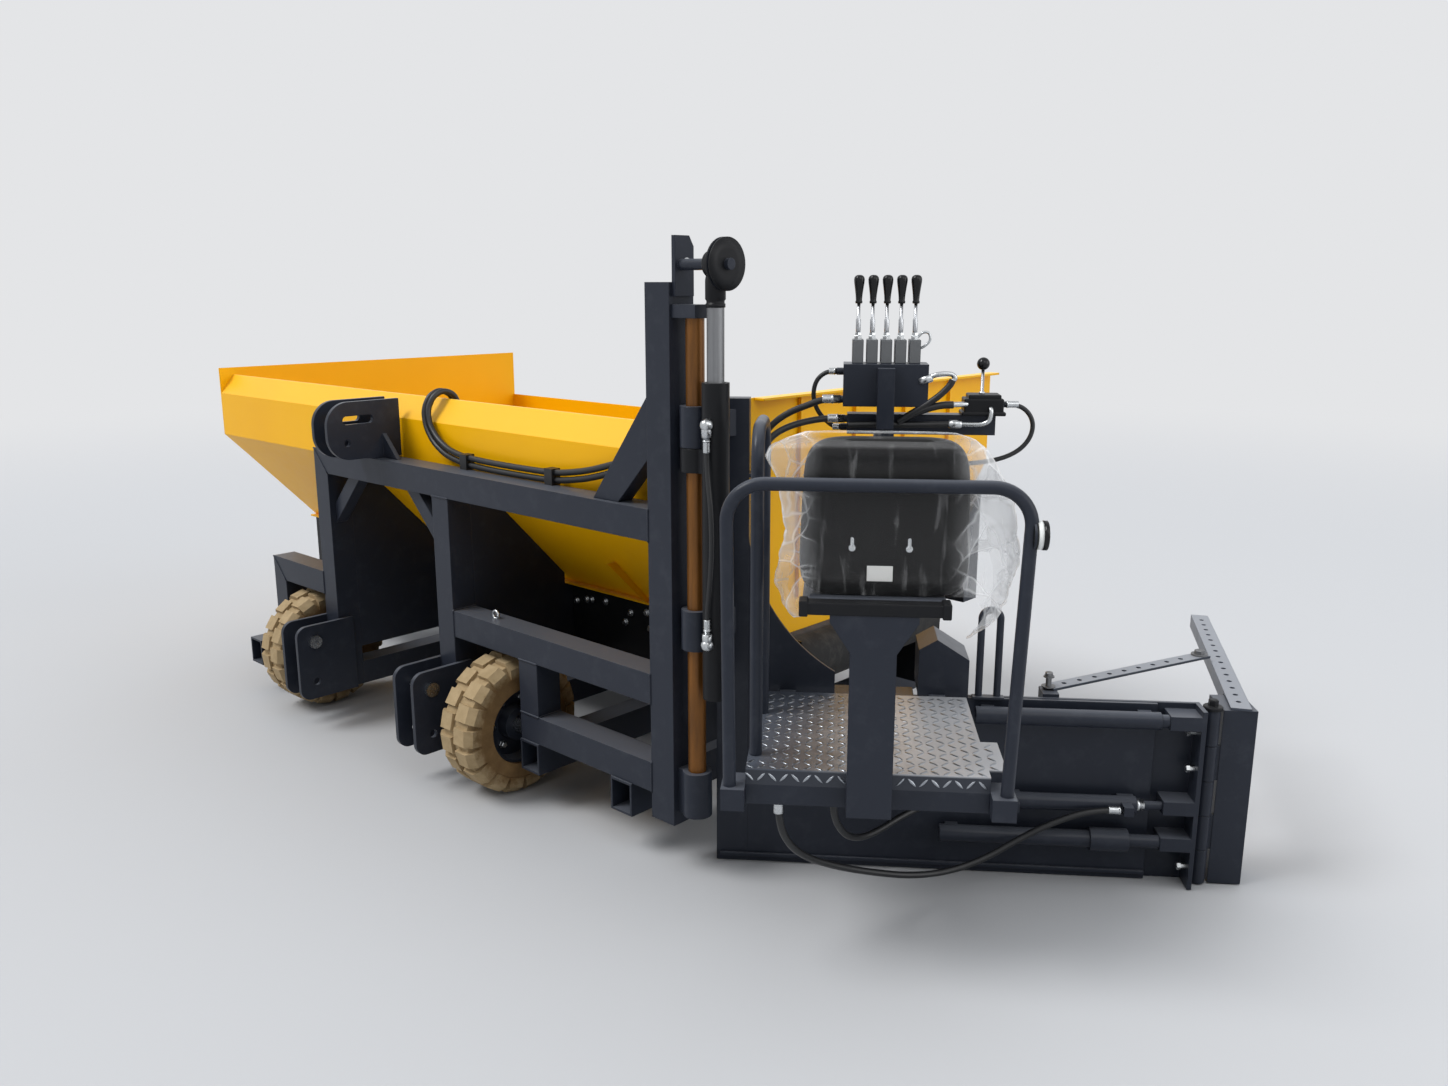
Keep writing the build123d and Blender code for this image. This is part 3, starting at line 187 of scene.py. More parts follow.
def treadPlateSteel():
    # rolled diamond plate, painted slate: a painted reflection turns it pale grey towards its outer end, painted shade
    # darkens its lip
    made, tree, place = newMaterial("treadPlateSteel")
    wearAndReflectionNoise = addNode(tree, "TexNoise", {"Scale": perMetre(70), "Detail": 8, "Roughness": 0.6}, {"Vector": place})
    fromPivot = addNode(tree, "VectorMath", {1: tuple(pivotZero)}, {0: place}, operation="SUBTRACT")
    sideways = addNode(tree, "VectorMath", {1: tuple(alongStation)}, {0: fromPivot}, operation="DOT_PRODUCT")
    # painted reflection: paler along the strike-off away from the pivot, its edge broken by noise
    reflectionPatch = addNode(tree, "Math", {1: 0.3}, {0: wearAndReflectionNoise, 2: sideways}, operation="MULTIPLY_ADD")
    paintedReflection = addNode(tree, "MapRange", {"From Min": 0.45, "From Max": 0.80}, {"Value": reflectionPatch},
                     interpolation_type="SMOOTHSTEP")
    slateWithPaintedReflection = addNode(tree, "Mix", {"A": linear("#565B65"), "B": linear("#B6B8BC")},
                   {"Factor": paintedReflection}, data_type="RGBA")
    # painted shade: the upright lip below the top is a darker slate
    height = addNode(tree, "SeparateXYZ", wires={"Vector": place})
    topOverLipShade = addNode(tree, "MapRange", {"From Min": 0.594, "From Max": 0.599}, {"Value": height.outputs["Z"]})
    colour = addNode(tree, "Mix", {"A": linear("#32363F")}, {"Factor": topOverLipShade, "B": slateWithPaintedReflection}, data_type="RGBA")
    rough = addNode(tree, "MapRange", {"To Min": 0.26, "To Max": 0.46}, {"Value": wearAndReflectionNoise})
    finishSurface(tree, colour=colour, roughness=rough, metallic=0.25)
    return made


def oiledPivotSteel():
    # mill-brown steel tube with oil and grease smeared along it
    made, tree, place = newMaterial("oiledPivotSteel")
    along = addNode(tree, "Mapping", {"Scale": (1, 1, 0.12)}, {"Vector": place})
    smear = addNode(tree, "TexNoise", {"Scale": perMetre(28), "Detail": 8, "Roughness": 0.62}, {"Vector": along})
    ramp = addNode(tree, "Mix", {"A": linear("#2E1D0E"), "B": linear("#97601F")}, {"Factor": smear}, data_type="RGBA")
    rough = addNode(tree, "MapRange", {"To Min": 0.26, "To Max": 0.5}, {"Value": smear})
    finishSurface(tree, colour=ramp, roughness=rough, metallic=0.45)
    return made


def mouldedPlastic(name, base, grainMm, roughness, strength):
    # injection-moulded plastic with a fine leather grain
    made, tree, place = newMaterial(name)
    grain = addNode(tree, "TexVoronoi", {"Scale": perMetre(grainMm)}, {"Vector": place}, feature="SMOOTH_F1")
    bump = addNode(tree, "Bump", {"Strength": strength, "Distance": 0.0006}, {"Height": grain})
    finishSurface(tree, colour=linear(base), roughness=roughness, normal=bump, specular=0.3)
    return made


def hoseRubber():
    # braided hydraulic hose: black smooth cover with the braid just showing through, drawn coarse to show
    made, tree, place = newMaterial("hoseRubber")
    wrap = addNode(tree, "TexNoise", {"Scale": perMetre(5), "Detail": 3}, {"Vector": place})
    bump = addNode(tree, "Bump", {"Strength": 0.12, "Distance": 0.0006}, {"Height": wrap})
    rough = addNode(tree, "MapRange", {"To Min": 0.34, "To Max": 0.55}, {"Value": wrap})
    finishSurface(tree, colour=linear("#17181A"), roughness=rough, normal=bump)
    return made


def beltRubber():
    # vulcanised conveyor belt, dull black with pale dust of stone in its pores
    made, tree, place = newMaterial("beltRubber")
    dust = addNode(tree, "TexNoise", {"Scale": perMetre(80), "Detail": 10, "Roughness": 0.72}, {"Vector": place})
    share = addNode(tree, "MapRange", {"From Min": 0.45, "From Max": 0.8, "To Max": 0.35}, {"Value": dust})
    colour = addNode(tree, "Mix", {"A": linear("#1D1D1E"), "B": linear("#6B6760")},
                     {"Factor": share}, data_type="RGBA")
    grain = addNode(tree, "TexVoronoi", {"Scale": perMetre(9)}, {"Vector": place})
    bump = addNode(tree, "Bump", {"Strength": 0.3, "Distance": 0.001}, {"Height": grain})
    finishSurface(tree, colour=colour, roughness=0.82, normal=bump)
    return made


def clearFilmSheet():
    # thin clear polythene, crumpled into flat facets: nearly invisible where it lies tight on the seat, whitish where
    # it hangs loose, partly its own haze and partly painted reflection by facet; its creases, streaks and glancing view
    # get painted highlights
    made, tree, place = newMaterial("clearFilmSheet")
    warp = addNode(tree, "TexNoise", {"Scale": perMetre(150), "Detail": 2}, {"Vector": place})
    bent = addNode(tree, "Mix", {"Factor": 0.09}, {"A": place, "B": warp.outputs["Color"]}, data_type="VECTOR")
    facet = addNode(tree, "TexVoronoi", {"Scale": perMetre(80)}, {"Vector": bent})
    edge = addNode(tree, "TexVoronoi", {"Scale": perMetre(80)}, {"Vector": bent}, feature="DISTANCE_TO_EDGE")
    # painted highlight along the crease lines
    creaseHighlight = addNode(tree, "MapRange", {"From Max": 0.05, "To Min": 0.3, "To Max": 0.0},
                     {"Value": edge}, interpolation_type="SMOOTHSTEP")
    # painted highlight: long slanted streaks from a stretched noise
    pulled = addNode(tree, "Mapping", {"Rotation": (0.35, 0.5, 0), "Scale": (1, 1, 0.16)}, {"Vector": place})
    drawn = addNode(tree, "TexNoise", {"Scale": perMetre(26), "Detail": 3, "Roughness": 0.55, "Distortion": 0.4},
                    {"Vector": pulled})
    streakHighlight = addNode(tree, "MapRange", {"From Min": 0.56, "From Max": 0.74}, {"Value": drawn},
                     interpolation_type="SMOOTHSTEP")
    tone = addNode(tree, "SeparateXYZ", wires={"Vector": facet.outputs["Color"]})
    seatMiddle = float(alongStation @ pivotZero) + 0.532    # metres along the strike-off
    along = addNode(tree, "VectorMath", {1: alongStation.tolist()}, {0: place}, operation="DOT_PRODUCT")
    offset = addNode(tree, "Math", {1: seatMiddle}, {0: along}, operation="SUBTRACT")
    aside = addNode(tree, "Math", wires={0: offset}, operation="ABSOLUTE")
    loose = addNode(tree, "MapRange", {"From Min": 0.15, "From Max": 0.23}, {"Value": aside},
                    interpolation_type="SMOOTHSTEP")
    # the film's own haze, varied per facet as painted reflection
    hazeAndFacetSheen = addNode(tree, "MapRange", {"To Min": 0.13, "To Max": 0.34}, {"Value": tone.outputs["X"]})
    hazeAndCreaseHighlight = addNode(tree, "Math", wires={0: creaseHighlight, 1: hazeAndFacetSheen}, operation="ADD")
    free = addNode(tree, "Math", {1: 0.42}, {0: streakHighlight, 2: hazeAndCreaseHighlight}, operation="MULTIPLY_ADD")
    tight = addNode(tree, "Math", {1: 0.10, 2: 0.006}, {0: streakHighlight}, operation="MULTIPLY_ADD")
    share = addNode(tree, "Mix", {}, {"Factor": loose, "A": tight, "B": free})
    # painted reflection: the film whiter at a glancing view
    glancingReflection = addNode(tree, "LayerWeight", {"Blend": 0.25})
    alpha = addNode(tree, "Math", {1: 0.5}, {0: glancingReflection.outputs["Facing"], 2: share},
                    operation="MULTIPLY_ADD", use_clamp=True)
    lean = addNode(tree, "VectorMath", {1: (0.5, 0.5, 0.5)}, {0: facet.outputs["Color"]}, operation="SUBTRACT")
    facing = addNode(tree, "NewGeometry").outputs["Normal"]
    tilt = addNode(tree, "VectorMath", {1: (0.5, 0.5, 0.5)}, {0: lean, 2: facing}, operation="MULTIPLY_ADD")
    flat = addNode(tree, "VectorMath", wires={0: tilt}, operation="NORMALIZE")
    finishSurface(tree, colour=linear("#F4F5F6"), roughness=0.16, alpha=alpha, normal=flat, specular=0.9)
    return made


# Paints: colour, shade, dust tone, peel in mm, roughness, dust all over, dust and painted light on tops. Steels:
# colour, shade, roughness, grain in mm, stretch. Plastics: colour, grain in mm, roughness, depth of grain.
# on each paint the paler tops are partly settled dust and partly painted light from above
framePaint = wornPaint("slateFramePaint", "#2D313B", "#262A33", "#8A8E96", 5, 0.30, 0.05, 0.25)    # satin slate
hopperPaint = wornPaint("yellowHopperEnamel", "#FDBE00", "#F5B100", "#FBE08E", 6, 0.36, 0.01, 0.34)    # warm yellow
# the bars are the frame's slate: this paler copy, paler still on tops, paints the highlight on their lit faces, with
# some dust
barPaintedHighlight = wornPaint("slateBarPaintedHighlight", "#4A4F59", "#40454F", "#A4A8AF", 5, 0.30, 0.06, 0.55)    # paler, dusty slate
blackPaint = wornPaint("blackMachinePaint", "#111215", "#17181B", "#4A4A4A", 5, 0.38, 0.06, 0.12)    # half-dull black
tyreRubber = tanSolidTyre()
rodSteel = drawnSteel("groundRodSteel", "#C4C6C9", "#9A9CA0", 0.24, 6, (1, 1, 0.05))    # bright, ground along z
dullSteel = drawnSteel("dullRodSteel", "#8B8C8E", "#77787A", 0.46, 8, (1, 1, 0.04))    # grey, weathered along z
zincSteel = drawnSteel("zincPlatedSteel", "#D5D7D8", "#A9ADB0", 0.26, 9, (1, 1, 1))    # pale and bright
deckSteel = treadPlateSteel()
pivotSteel = oiledPivotSteel()
seatPlastic = mouldedPlastic("seatShellPlastic", "#0B0B0C", 4, 0.46, 0.25)    # deep matt black
knobBlack = mouldedPlastic("knobPlastic", "#101113", 9, 0.22, 0.02)    # glossy black
hoseCover = hoseRubber()
beltCover = beltRubber()
seatVinyl = mouldedPlastic("seatCoverVinyl", "#151618", 3, 0.5, 0.35)    # black, finely grained
spoolGrey = mouldedPlastic("spoolCapPaint", "#6A6C6E", 3, 0.42, 0.05)    # plain mid grey
labelWhite = mouldedPlastic("labelPaper", "#EDEDEA", 2, 0.5, 0.02)    # flat white
lensWhite = mouldedPlastic("lampLensPlastic", "#E6E8E6", 7, 0.12, 0.5)    # milky, rippled gloss
barSteel = drawnSteel("treadBarSteel", "#B4B8BE", "#8D9299", 0.3, 12, (1, 1, 1))    # edges rubbed bright
filmClear = clearFilmSheet()

finishOf = {name: framePaint for name in nodes}
finishOf.update({name: hopperPaint for name in nodes if name.startswith("hopper")})
finishOf.update({name: tyreRubber for name in nodes if name.startswith("tyre")})
finishOf.update({name: hoseCover for name in nodes if "hose" in name})
finishOf.update({name: blackPaint for name in ("conveyor_sides", "conveyor_motor", "lift_cylinder")})
finishOf.update({name: rodSteel for name in ("conveyor_rollers", "hinge_pin")})
finishOf.update({name: zincSteel for name in ("hitch_pins", "stub_axles")})
finishOf.update({"conveyor_belt": beltCover, "lift_rod": dullSteel, "wing_bar": barPaintedHighlight, "stay_bar": barPaintedHighlight,
                 "pivot_rod": pivotSteel, "deck": deckSteel, "seat_cushion": seatPlastic, "seat_back": seatPlastic,
                 "levers": knobBlack})
for name, node in nodes.items():
    node.data.materials.clear()
    node.data.materials.append(finishOf[name])
print("materials set")


# Hoses that hang free. Routes are in millimetres, lengths and diameters in metres.
liftPlace = np.array((160.6, -17.0, 0.0))    # the elbows on the lift cylinder, in the machine's frame
hoses = dict(
    deckHose=dict(node="deck_hose", length=1.418, wide=0.020, route=[
        (275, -480, 500), (275, -480, 430), (300, -430, 340), (350, -360, 265), (430, -280, 200), (534, -200, 143),
        (663, -120, 93), (782, -60, 82), (890, -25, 112), (985, 0, 165), (1090, 13, 222), (1215, 18, 270),
        (1300, 18, 270)]),
    crossHose=dict(node="cross_hose", length=0.879, wide=0.020, route=[
        (960, 18, 270), (885, 18, 270), (790, 0, 284), (705, -10, 276), (625, -60, 255), (557, -140, 246),
        (503, -200, 250), (460, -270, 290), (430, -330, 360), (420, -380, 428), (420, -380, 500)]),
    joystickHose=dict(node="joystick_hose", length=0.564, wide=0.014, route=[
        (905, 200, 1480), (945, 200, 1480), (978, 200, 1460), (996, 200, 1426), (992, 200, 1386), (968, 200, 1350),
        (930, 199, 1325), (880, 199, 1309), (810, 200, 1299), (700, 200, 1290), (611, 200, 1290)]),
    valveHose=dict(node="valve_hose", length=0.255, wide=0.014, route=[
        (406, 200, 1575), (382, 200, 1575), (358, 201, 1562), (342, 203, 1540), (336, 205, 1508), (341, 207, 1474),
        (357, 209, 1444), (380, 211, 1421), (400, 212, 1406), (420, 212, 1406)]),
    feedHoseUpper=dict(node="feed_hose_upper", length=0.345, wide=0.020, route=[
        (172, 145, 1294), (172, 145, 1336), (188, 146, 1384), (222, 148, 1426), (270, 151, 1457), (322, 154, 1477),
        (368, 158, 1495), (406, 158, 1495)]),
    feedHoseLower=dict(node="feed_hose_lower", length=0.321, wide=0.020, route=[
        (188, 116, 1294), (188, 116, 1330), (198, 122, 1362), (220, 132, 1388), (254, 145, 1408), (298, 160, 1422),
        (345, 175, 1431), (385, 186, 1434), (420, 186, 1434)]),
    liftHose=dict(node="lift_hose", body="lift_carriage", length=0.582, wide=0.014, route=(
        liftPlace + np.array([(0, 0, 1411), (0, 0, 1354), (9, -4, 1290), (23, -9, 1222), (29, -11, 1150),
                              (29, -11, 1080), (22, -9, 1010), (12, -5, 950), (0, 0, 890), (0, 0, 834)])).tolist()),
)
placeOf = {"station": inStation, "lift_carriage": inMachine}
for name, hose in hoses.items():
    body = hose.setdefault("body", "station")
    points = placeOf[body](hose["route"])
    curve = bpy.data.curves.new(name, "CURVE")
    curve.dimensions = "3D"
    curve.bevel_depth = hose["wide"] / 2
    curve.bevel_resolution = 5
    curve.use_fill_caps = True
    spline = curve.splines.new("NURBS")
    spline.points.add(len(points) - 1)
    spline.points.foreach_set("co", np.c_[points, np.ones(len(points))].ravel())
    spline.order_u = 3
    spline.use_endpoint_u = True
    spline.resolution_u = 10
    curve.materials.append(hoseCover)
    piece = bpy.data.objects.new(name, curve)
    bpy.context.scene.collection.objects.link(piece)
    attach(piece, body)
    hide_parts(hose["node"])
print("hoses laid:", len(hoses))


# Surfaces. A grid of points becomes quads; repeated pieces are one template laid at many places.
def gridFaces(rows, columns, ringRows=False, ringColumns=True):
    first = np.arange(rows if ringRows else rows - 1)[:, None]
    second = np.arange(columns if ringColumns else columns - 1)[None, :]
    nextRow, nextColumn = (first + 1) % rows, (second + 1) % columns
    corners = (first * columns + second, first * columns + nextColumn, nextRow * columns + nextColumn,
               nextRow * columns + second)
    return np.stack([np.broadcast_to(c, (first.size, second.size)) for c in corners], -1).reshape(-1, 4)


def makePiece(name, points, faces, material, body, smooth=True, closed=True):
    mesh = bpy.data.meshes.new(name)
    mesh.from_pydata(np.asarray(points).reshape(-1, 3).tolist(), [], np.asarray(faces).tolist())
    work = bmesh.new()
    work.from_mesh(mesh)
    bmesh.ops.remove_doubles(work, verts=work.verts, dist=1e-6)    # closes seams and poles
    if closed:
        bmesh.ops.recalc_face_normals(work, faces=work.faces)
    work.to_mesh(mesh)
    work.free()
    mesh.shade_smooth() if smooth else mesh.shade_flat()
    mesh.materials.append(material)
    piece = bpy.data.objects.new(name, mesh)
    bpy.context.scene.collection.objects.link(piece)
    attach(piece, body)
    return piece


def turned(profile, sides):
    # rows of (height, radius) turned about z, with a point on the axis at each end
    rows = np.array([(profile[0][0], 0), *profile, (profile[-1][0], 0)], float)
    angle = np.linspace(0, 2 * math.pi, sides, endpoint=False)
    ring = np.stack([np.cos(angle), np.sin(angle)], -1)
    heights = np.broadcast_to(rows[:, None, :1], (len(rows), sides, 1))
    points = np.concatenate([rows[:, None, 1:2] * ring[None], heights], -1)
    return points.reshape(-1, 3), gridFaces(len(rows), sides)


def ballRows(radius, low, high, rows, lift=0):
    # rows of (height, radius) for turning a ball, from one latitude to another in degrees
    turn = np.radians(np.linspace(low, high, rows))
    return np.stack([lift + radius * np.sin(turn), radius * np.cos(turn)], -1)


def copied(template, turns, places):
    # one template turned by each matrix, whose rows are its new axes, and moved to each place
    points, faces = template
    copies = points[None] @ turns + np.asarray(places, float)[:, None]
    shift = np.arange(len(turns))[:, None, None] * len(points)
    return copies.reshape(-1, 3), (faces[None] + shift).reshape(-1, faces.shape[1])


def laid(template, places, axes):
    # copies of a template whose z turns to each axis and whose origin moves to each place
    axes = np.asarray(axes, float)
    axes = axes / np.linalg.norm(axes, axis=1, keepdims=True)
    helper = np.where(np.abs(axes[:, 2:]) > 0.9, np.array([[1.0, 0, 0]]), upright[None])
    side = np.cross(helper, axes)
    side /= np.linalg.norm(side, axis=1, keepdims=True)
    return copied(template, np.stack([side, np.cross(axes, side), axes], 1), places)


def joined(*parts):
    # several (points, faces) as one
    starts = np.cumsum([0] + [len(points) for points, faces in parts[:-1]])
    return np.concatenate([p for p, f in parts]), np.concatenate([f + s for (p, f), s in zip(parts, starts)])


def signedPower(value, power):
    return np.sign(value) * np.abs(value) ** power


def tubeAlong(route, radius, sides=14, rows=60):
    # a round tube along a smooth curve (Catmull-Rom) through the route's points, ends closed
    route = np.asarray(route, float)
    ends = np.concatenate([2 * route[:1] - route[1:2], route, 2 * route[-1:] - route[-2:-1]])
    t = np.linspace(0, len(route) - 1 - 1e-9, rows)
    k = t.astype(int)
    f = (t - k)[:, None]
    a, b, c, d = (ends[k + i] for i in range(4))
    path = 0.5 * (2 * b + (c - a) * f + (2 * a - 5 * b + 4 * c - d) * f ** 2 + (3 * b - a - 3 * c + d) * f ** 3)
    way = np.gradient(path, axis=0)
    way /= np.linalg.norm(way, axis=1, keepdims=True)
    across = np.cross(way, np.array([[0.31, 0.87, 0.39]]))
    across /= np.linalg.norm(across, axis=1, keepdims=True)
    over = np.cross(way, across)
    angle = np.linspace(0, 2 * math.pi, sides, endpoint=False)
    ring = np.cos(angle)[None, :, None] * across[:, None] + np.sin(angle)[None, :, None] * over[:, None]
    body = path[:, None] + radius * ring
    body = np.concatenate([np.repeat(path[:1, None], sides, 1), body, np.repeat(path[-1:, None], sides, 1)])
    return body.reshape(-1, 3), gridFaces(rows + 2, sides)


def boxes(spans):
    # plain boxes from rows of x0, x1, y0, y1, z0, z1
    spans = np.asarray(spans, float).reshape(-1, 3, 2)
    pick = np.array([(0, 0, 0), (1, 0, 0), (1, 1, 0), (0, 1, 0), (0, 0, 1), (1, 0, 1), (1, 1, 1), (0, 1, 1)])
    corners = np.stack([spans[:, i][:, pick[:, i]] for i in range(3)], -1)
    faces = np.array([(0, 3, 2, 1), (4, 5, 6, 7), (0, 1, 5, 4), (1, 2, 6, 5), (2, 3, 7, 6), (3, 0, 4, 7)])
    shift = np.arange(len(spans))[:, None, None] * 8
    return corners.reshape(-1, 3), (faces[None] + shift).reshape(-1, 4)


def bevelled(piece, width, segments):
    cut = piece.modifiers.new("edges", "BEVEL")
    cut.width = width
    cut.segments = segments
    return piece


def stationPiece(name, part, material, body="station", **options):
    return makePiece(name, inStation(part[0]), part[1], material, body, **options)


def machinePiece(name, part, material, body="chassis", **options):
    return makePiece(name, inMachine(part[0]), part[1], material, body, **options)


def stationBlocks(name, spans, material, edge, segments=2):
    return bevelled(stationPiece(name, boxes(spans), material, smooth=False), edge, segments)


# Tread plate: raised pointed bars, alternately left and right, on the deck, its lip and the step
treadBars = dict(long=31, wide=7.5, high=1.9, pitch=30, top=(200, 812, -512, 52, 600), lip=(200, 812, 577, -525),
                 step=(836, 864, -470, -296, 600), feet=((210, -430), (210, -120)), clear=32)


def treadBar(bar):
    # a pointed oval: width falls with the cosine along its length, and the crown is half as wide
    along = np.array([-1, -0.6, 0, 0.6, 1, 0.6, 0, -0.6])
    across = np.array([0, 0.72, 1, 0.72, 0, -0.72, -1, -0.72])
    low = np.stack([along * bar["long"] / 2, across * bar["wide"] / 2, np.zeros(8)], -1)
    high = low * np.array([0.78, 0.45, 1]) + np.array([0, 0, bar["high"]])
    crown = np.repeat(high.mean(0, keepdims=True), 8, 0)
    return np.concatenate([low, high, crown]), gridFaces(3, 8)


def treadField(bar, spots, normal, along):
    # every other bar turned the other way by half a right angle
    side = np.cross(normal, along)
    turn = np.where(spots[:, 3] % 2, math.pi / 4, -math.pi / 4)
    first = np.cos(turn)[:, None] * along + np.sin(turn)[:, None] * side
    second = np.cross(normal, first)
    axes = np.stack([first, second, np.broadcast_to(normal, first.shape)], 1)
    return copied(treadBar(bar), axes, spots[:, :3])


def treadSpots(x0, x1, y0, y1, z, pitch):
    # a square field of places; the fourth number tells odd bars from even ones
    i, j = np.meshgrid(np.arange(int((x1 - x0) / pitch) + 1), np.arange(int((y1 - y0) / pitch) + 1), indexing="ij")
    return np.stack([x0 + i * pitch, y0 + j * pitch, np.full(i.shape, z), i + j], -1).reshape(-1, 4).astype(float)


topSpots = treadSpots(*treadBars["top"], treadBars["pitch"])
for footX, footY in treadBars["feet"]:
    topSpots = topSpots[np.hypot(topSpots[:, 0] - footX, topSpots[:, 1] - footY) > treadBars["clear"]]
stepSpots = treadSpots(*treadBars["step"], treadBars["pitch"])
lipLeft, lipRight, lipZ, lipY = treadBars["lip"]
lipX = np.arange(lipLeft, lipRight, treadBars["pitch"])
lipSpots = np.stack([lipX, np.full(lipX.shape, lipY), np.full(lipX.shape, lipZ), np.arange(len(lipX))], -1)
alongX = np.array((1.0, 0, 0))
stationPiece("treadBars", joined(treadField(treadBars, topSpots, upright, alongX),
                                 treadField(treadBars, stepSpots, upright, alongX),
                                 treadField(treadBars, lipSpots, np.array((0, -1.0, 0)), alongX)), barSteel)
print("tread bars laid:", len(topSpots) + len(stepSpots) + len(lipSpots))


# Seat: two stuffed pads, each a rounded block whose section is a superellipse
seatBackPad = dict(middle=(532, -481, 1265), half=(208, 38, 201), corner=0.34, edge=0.55, taper=0.035, roll=7,
                   panel=(150, 150), recess=6)
seatCushionPad = dict(middle=(537, -250, 1113), half=(215, 215, 47), corner=0.40, edge=0.60, crown=7,
                      seams=(-95, 95), seamDeep=7, seamWide=9)


def roundedBlock(half, corner, edge, rows=72, columns=144):
    # u goes round the broad outline, v from the back pole to the front; powers under one square the corners
    v = np.linspace(-math.pi / 2, math.pi / 2, rows)[:, None]
    u = np.linspace(0, 2 * math.pi, columns, endpoint=False)[None, :]
    reach = signedPower(np.cos(v), edge)
    a = half[0] * reach * signedPower(np.cos(u), corner)
    b = half[1] * reach * signedPower(np.sin(u), corner)
    c = half[2] * signedPower(np.sin(v), edge) * np.ones_like(u)
    return a, b, c, gridFaces(rows, columns)


def backPad(pad):
    # broad outline in x and z; narrower to the top; a rolled top edge; a shallow panel sunk in the rear
    halfX, halfY, halfZ = pad["half"]
    x, z, y, faces = roundedBlock((halfX, halfZ, halfY), pad["corner"], pad["edge"])
    x = x * (1 - pad["taper"] * (z / halfZ))
    roll = pad["roll"] * np.exp(-((z / halfZ - 0.86) / 0.12) ** 2)
    y = y + np.sign(y) * roll * (np.abs(y) > 0.3 * halfY) * 0.6
    panelX, panelZ = pad["panel"]
    inside = 0.25 * (1 + np.tanh((panelX - np.abs(x)) / 9)) * (1 + np.tanh((panelZ - np.abs(z)) / 9))
    y = y + np.where(y < 0, pad["recess"] * inside, -0.8 * pad["recess"] * inside)
    return np.stack([x, y, z], -1).reshape(-1, 3) + np.array(pad["middle"]), faces


def cushionPad(pad):
    # flat under, crowned on top, with two sewn channels front to back
    x, y, z, faces = roundedBlock(pad["half"], pad["corner"], pad["edge"])
    halfX, halfY, halfZ = pad["half"]
    top = np.clip(z / halfZ, 0, 1)
    crown = pad["crown"] * np.cos(x / halfX * math.pi / 2) * np.cos(y / halfY * math.pi / 2) * top
    seams = sum(np.exp(-((x - s) / pad["seamWide"]) ** 2) for s in pad["seams"]) * pad["seamDeep"] * top
    return np.stack([x, y, z + crown - seams], -1).reshape(-1, 3) + np.array(pad["middle"]), faces


seatBack = stationPiece("seatBack", backPad(seatBackPad), seatPlastic)
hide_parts("seat_back")
seatCushion = stationPiece("seatCushion", cushionPad(seatCushionPad), seatVinyl)
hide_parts("seat_cushion")

# Fittings on the seat's rear: keyhole slots, a blank label and the slide rail with its end stops
seatRear = dict(face=-514.5, keyholeX=(452, 593), keyholeZ=1192, wide=8.5, neck=4.2, neckTop=1215,
                label=(490, 554, 1108, 1147), rail=(330, 690, -588, -545, 1037, 1069), stop=16)


def keyhole(x, rear):
    # outline of a round hole with a slot above, and its middle
    turn = np.linspace(math.radians(60), math.radians(-240), 25)
    bulb = np.stack([rear["wide"] * np.cos(turn), rear["wide"] * np.sin(turn)], -1)
    turnTop = np.linspace(math.pi, 0, 9)
    topZ = rear["neckTop"] - rear["keyholeZ"]
    top = np.stack([rear["neck"] * np.cos(turnTop), topZ + rear["neck"] * np.sin(turnTop)], -1)
    edge = np.concatenate([bulb, top])
    edge = np.stack([edge[:, 0] + x, np.full(len(edge), rear["face"]), edge[:, 1] + rear["keyholeZ"]], -1)
    middle = np.repeat(edge.mean(0, keepdims=True), len(edge), 0) - np.array((0, 0.4, 0))
    back = edge + np.array((0, 3.0, 0))
    return np.concatenate([middle, edge, back]), gridFaces(3, len(edge))


stationPiece("keyholes", joined(*[keyhole(x, seatRear) for x in seatRear["keyholeX"]]), zincSteel, smooth=False)
x0, x1, z0, z1 = seatRear["label"]
stationBlocks("blankLabel", [(x0, x1, seatRear["face"], seatRear["face"] + 3, z0, z1)], labelWhite, 0.0006)
x0, x1, y0, y1, z0, z1 = seatRear["rail"]
stop = seatRear["stop"]
stationBlocks("seatSlide", [(x0, x1, y0, y1, z0, z1), (x0 - 6, x0 + stop, y0 - 4, y1 + 4, z0 - 4, z1 + 4),
                            (x1 - stop, x1 + 6, y0 - 4, y1 + 4, z0 - 4, z1 + 4)], blackPaint, 0.003)
print("seat made")


# Clear film bag pulled over the seat back, loose at both sides
clearFilm = dict(levels=(1476, 1462, 1440, 1416, 1363, 1314, 1227, 1160, 1096, 1032, 990, 950),
                 left=(330, 290, 243, 232, 262, 272, 286, 272, 262, 284, 322, 360),
                 right=(700, 745, 772, 790, 818, 846, 858, 866, 848, 826, 790, 740),
                 middle=-478, half=45, hemAngles=(-180, -150, -125, -55, -30, 0, 25, 50, 130, 155, 180),
                 hem=(1000, 1010, 1074, 1074, 985, 955, 1010, 1172, 1172, 1040, 1000), columns=260, rows=110)


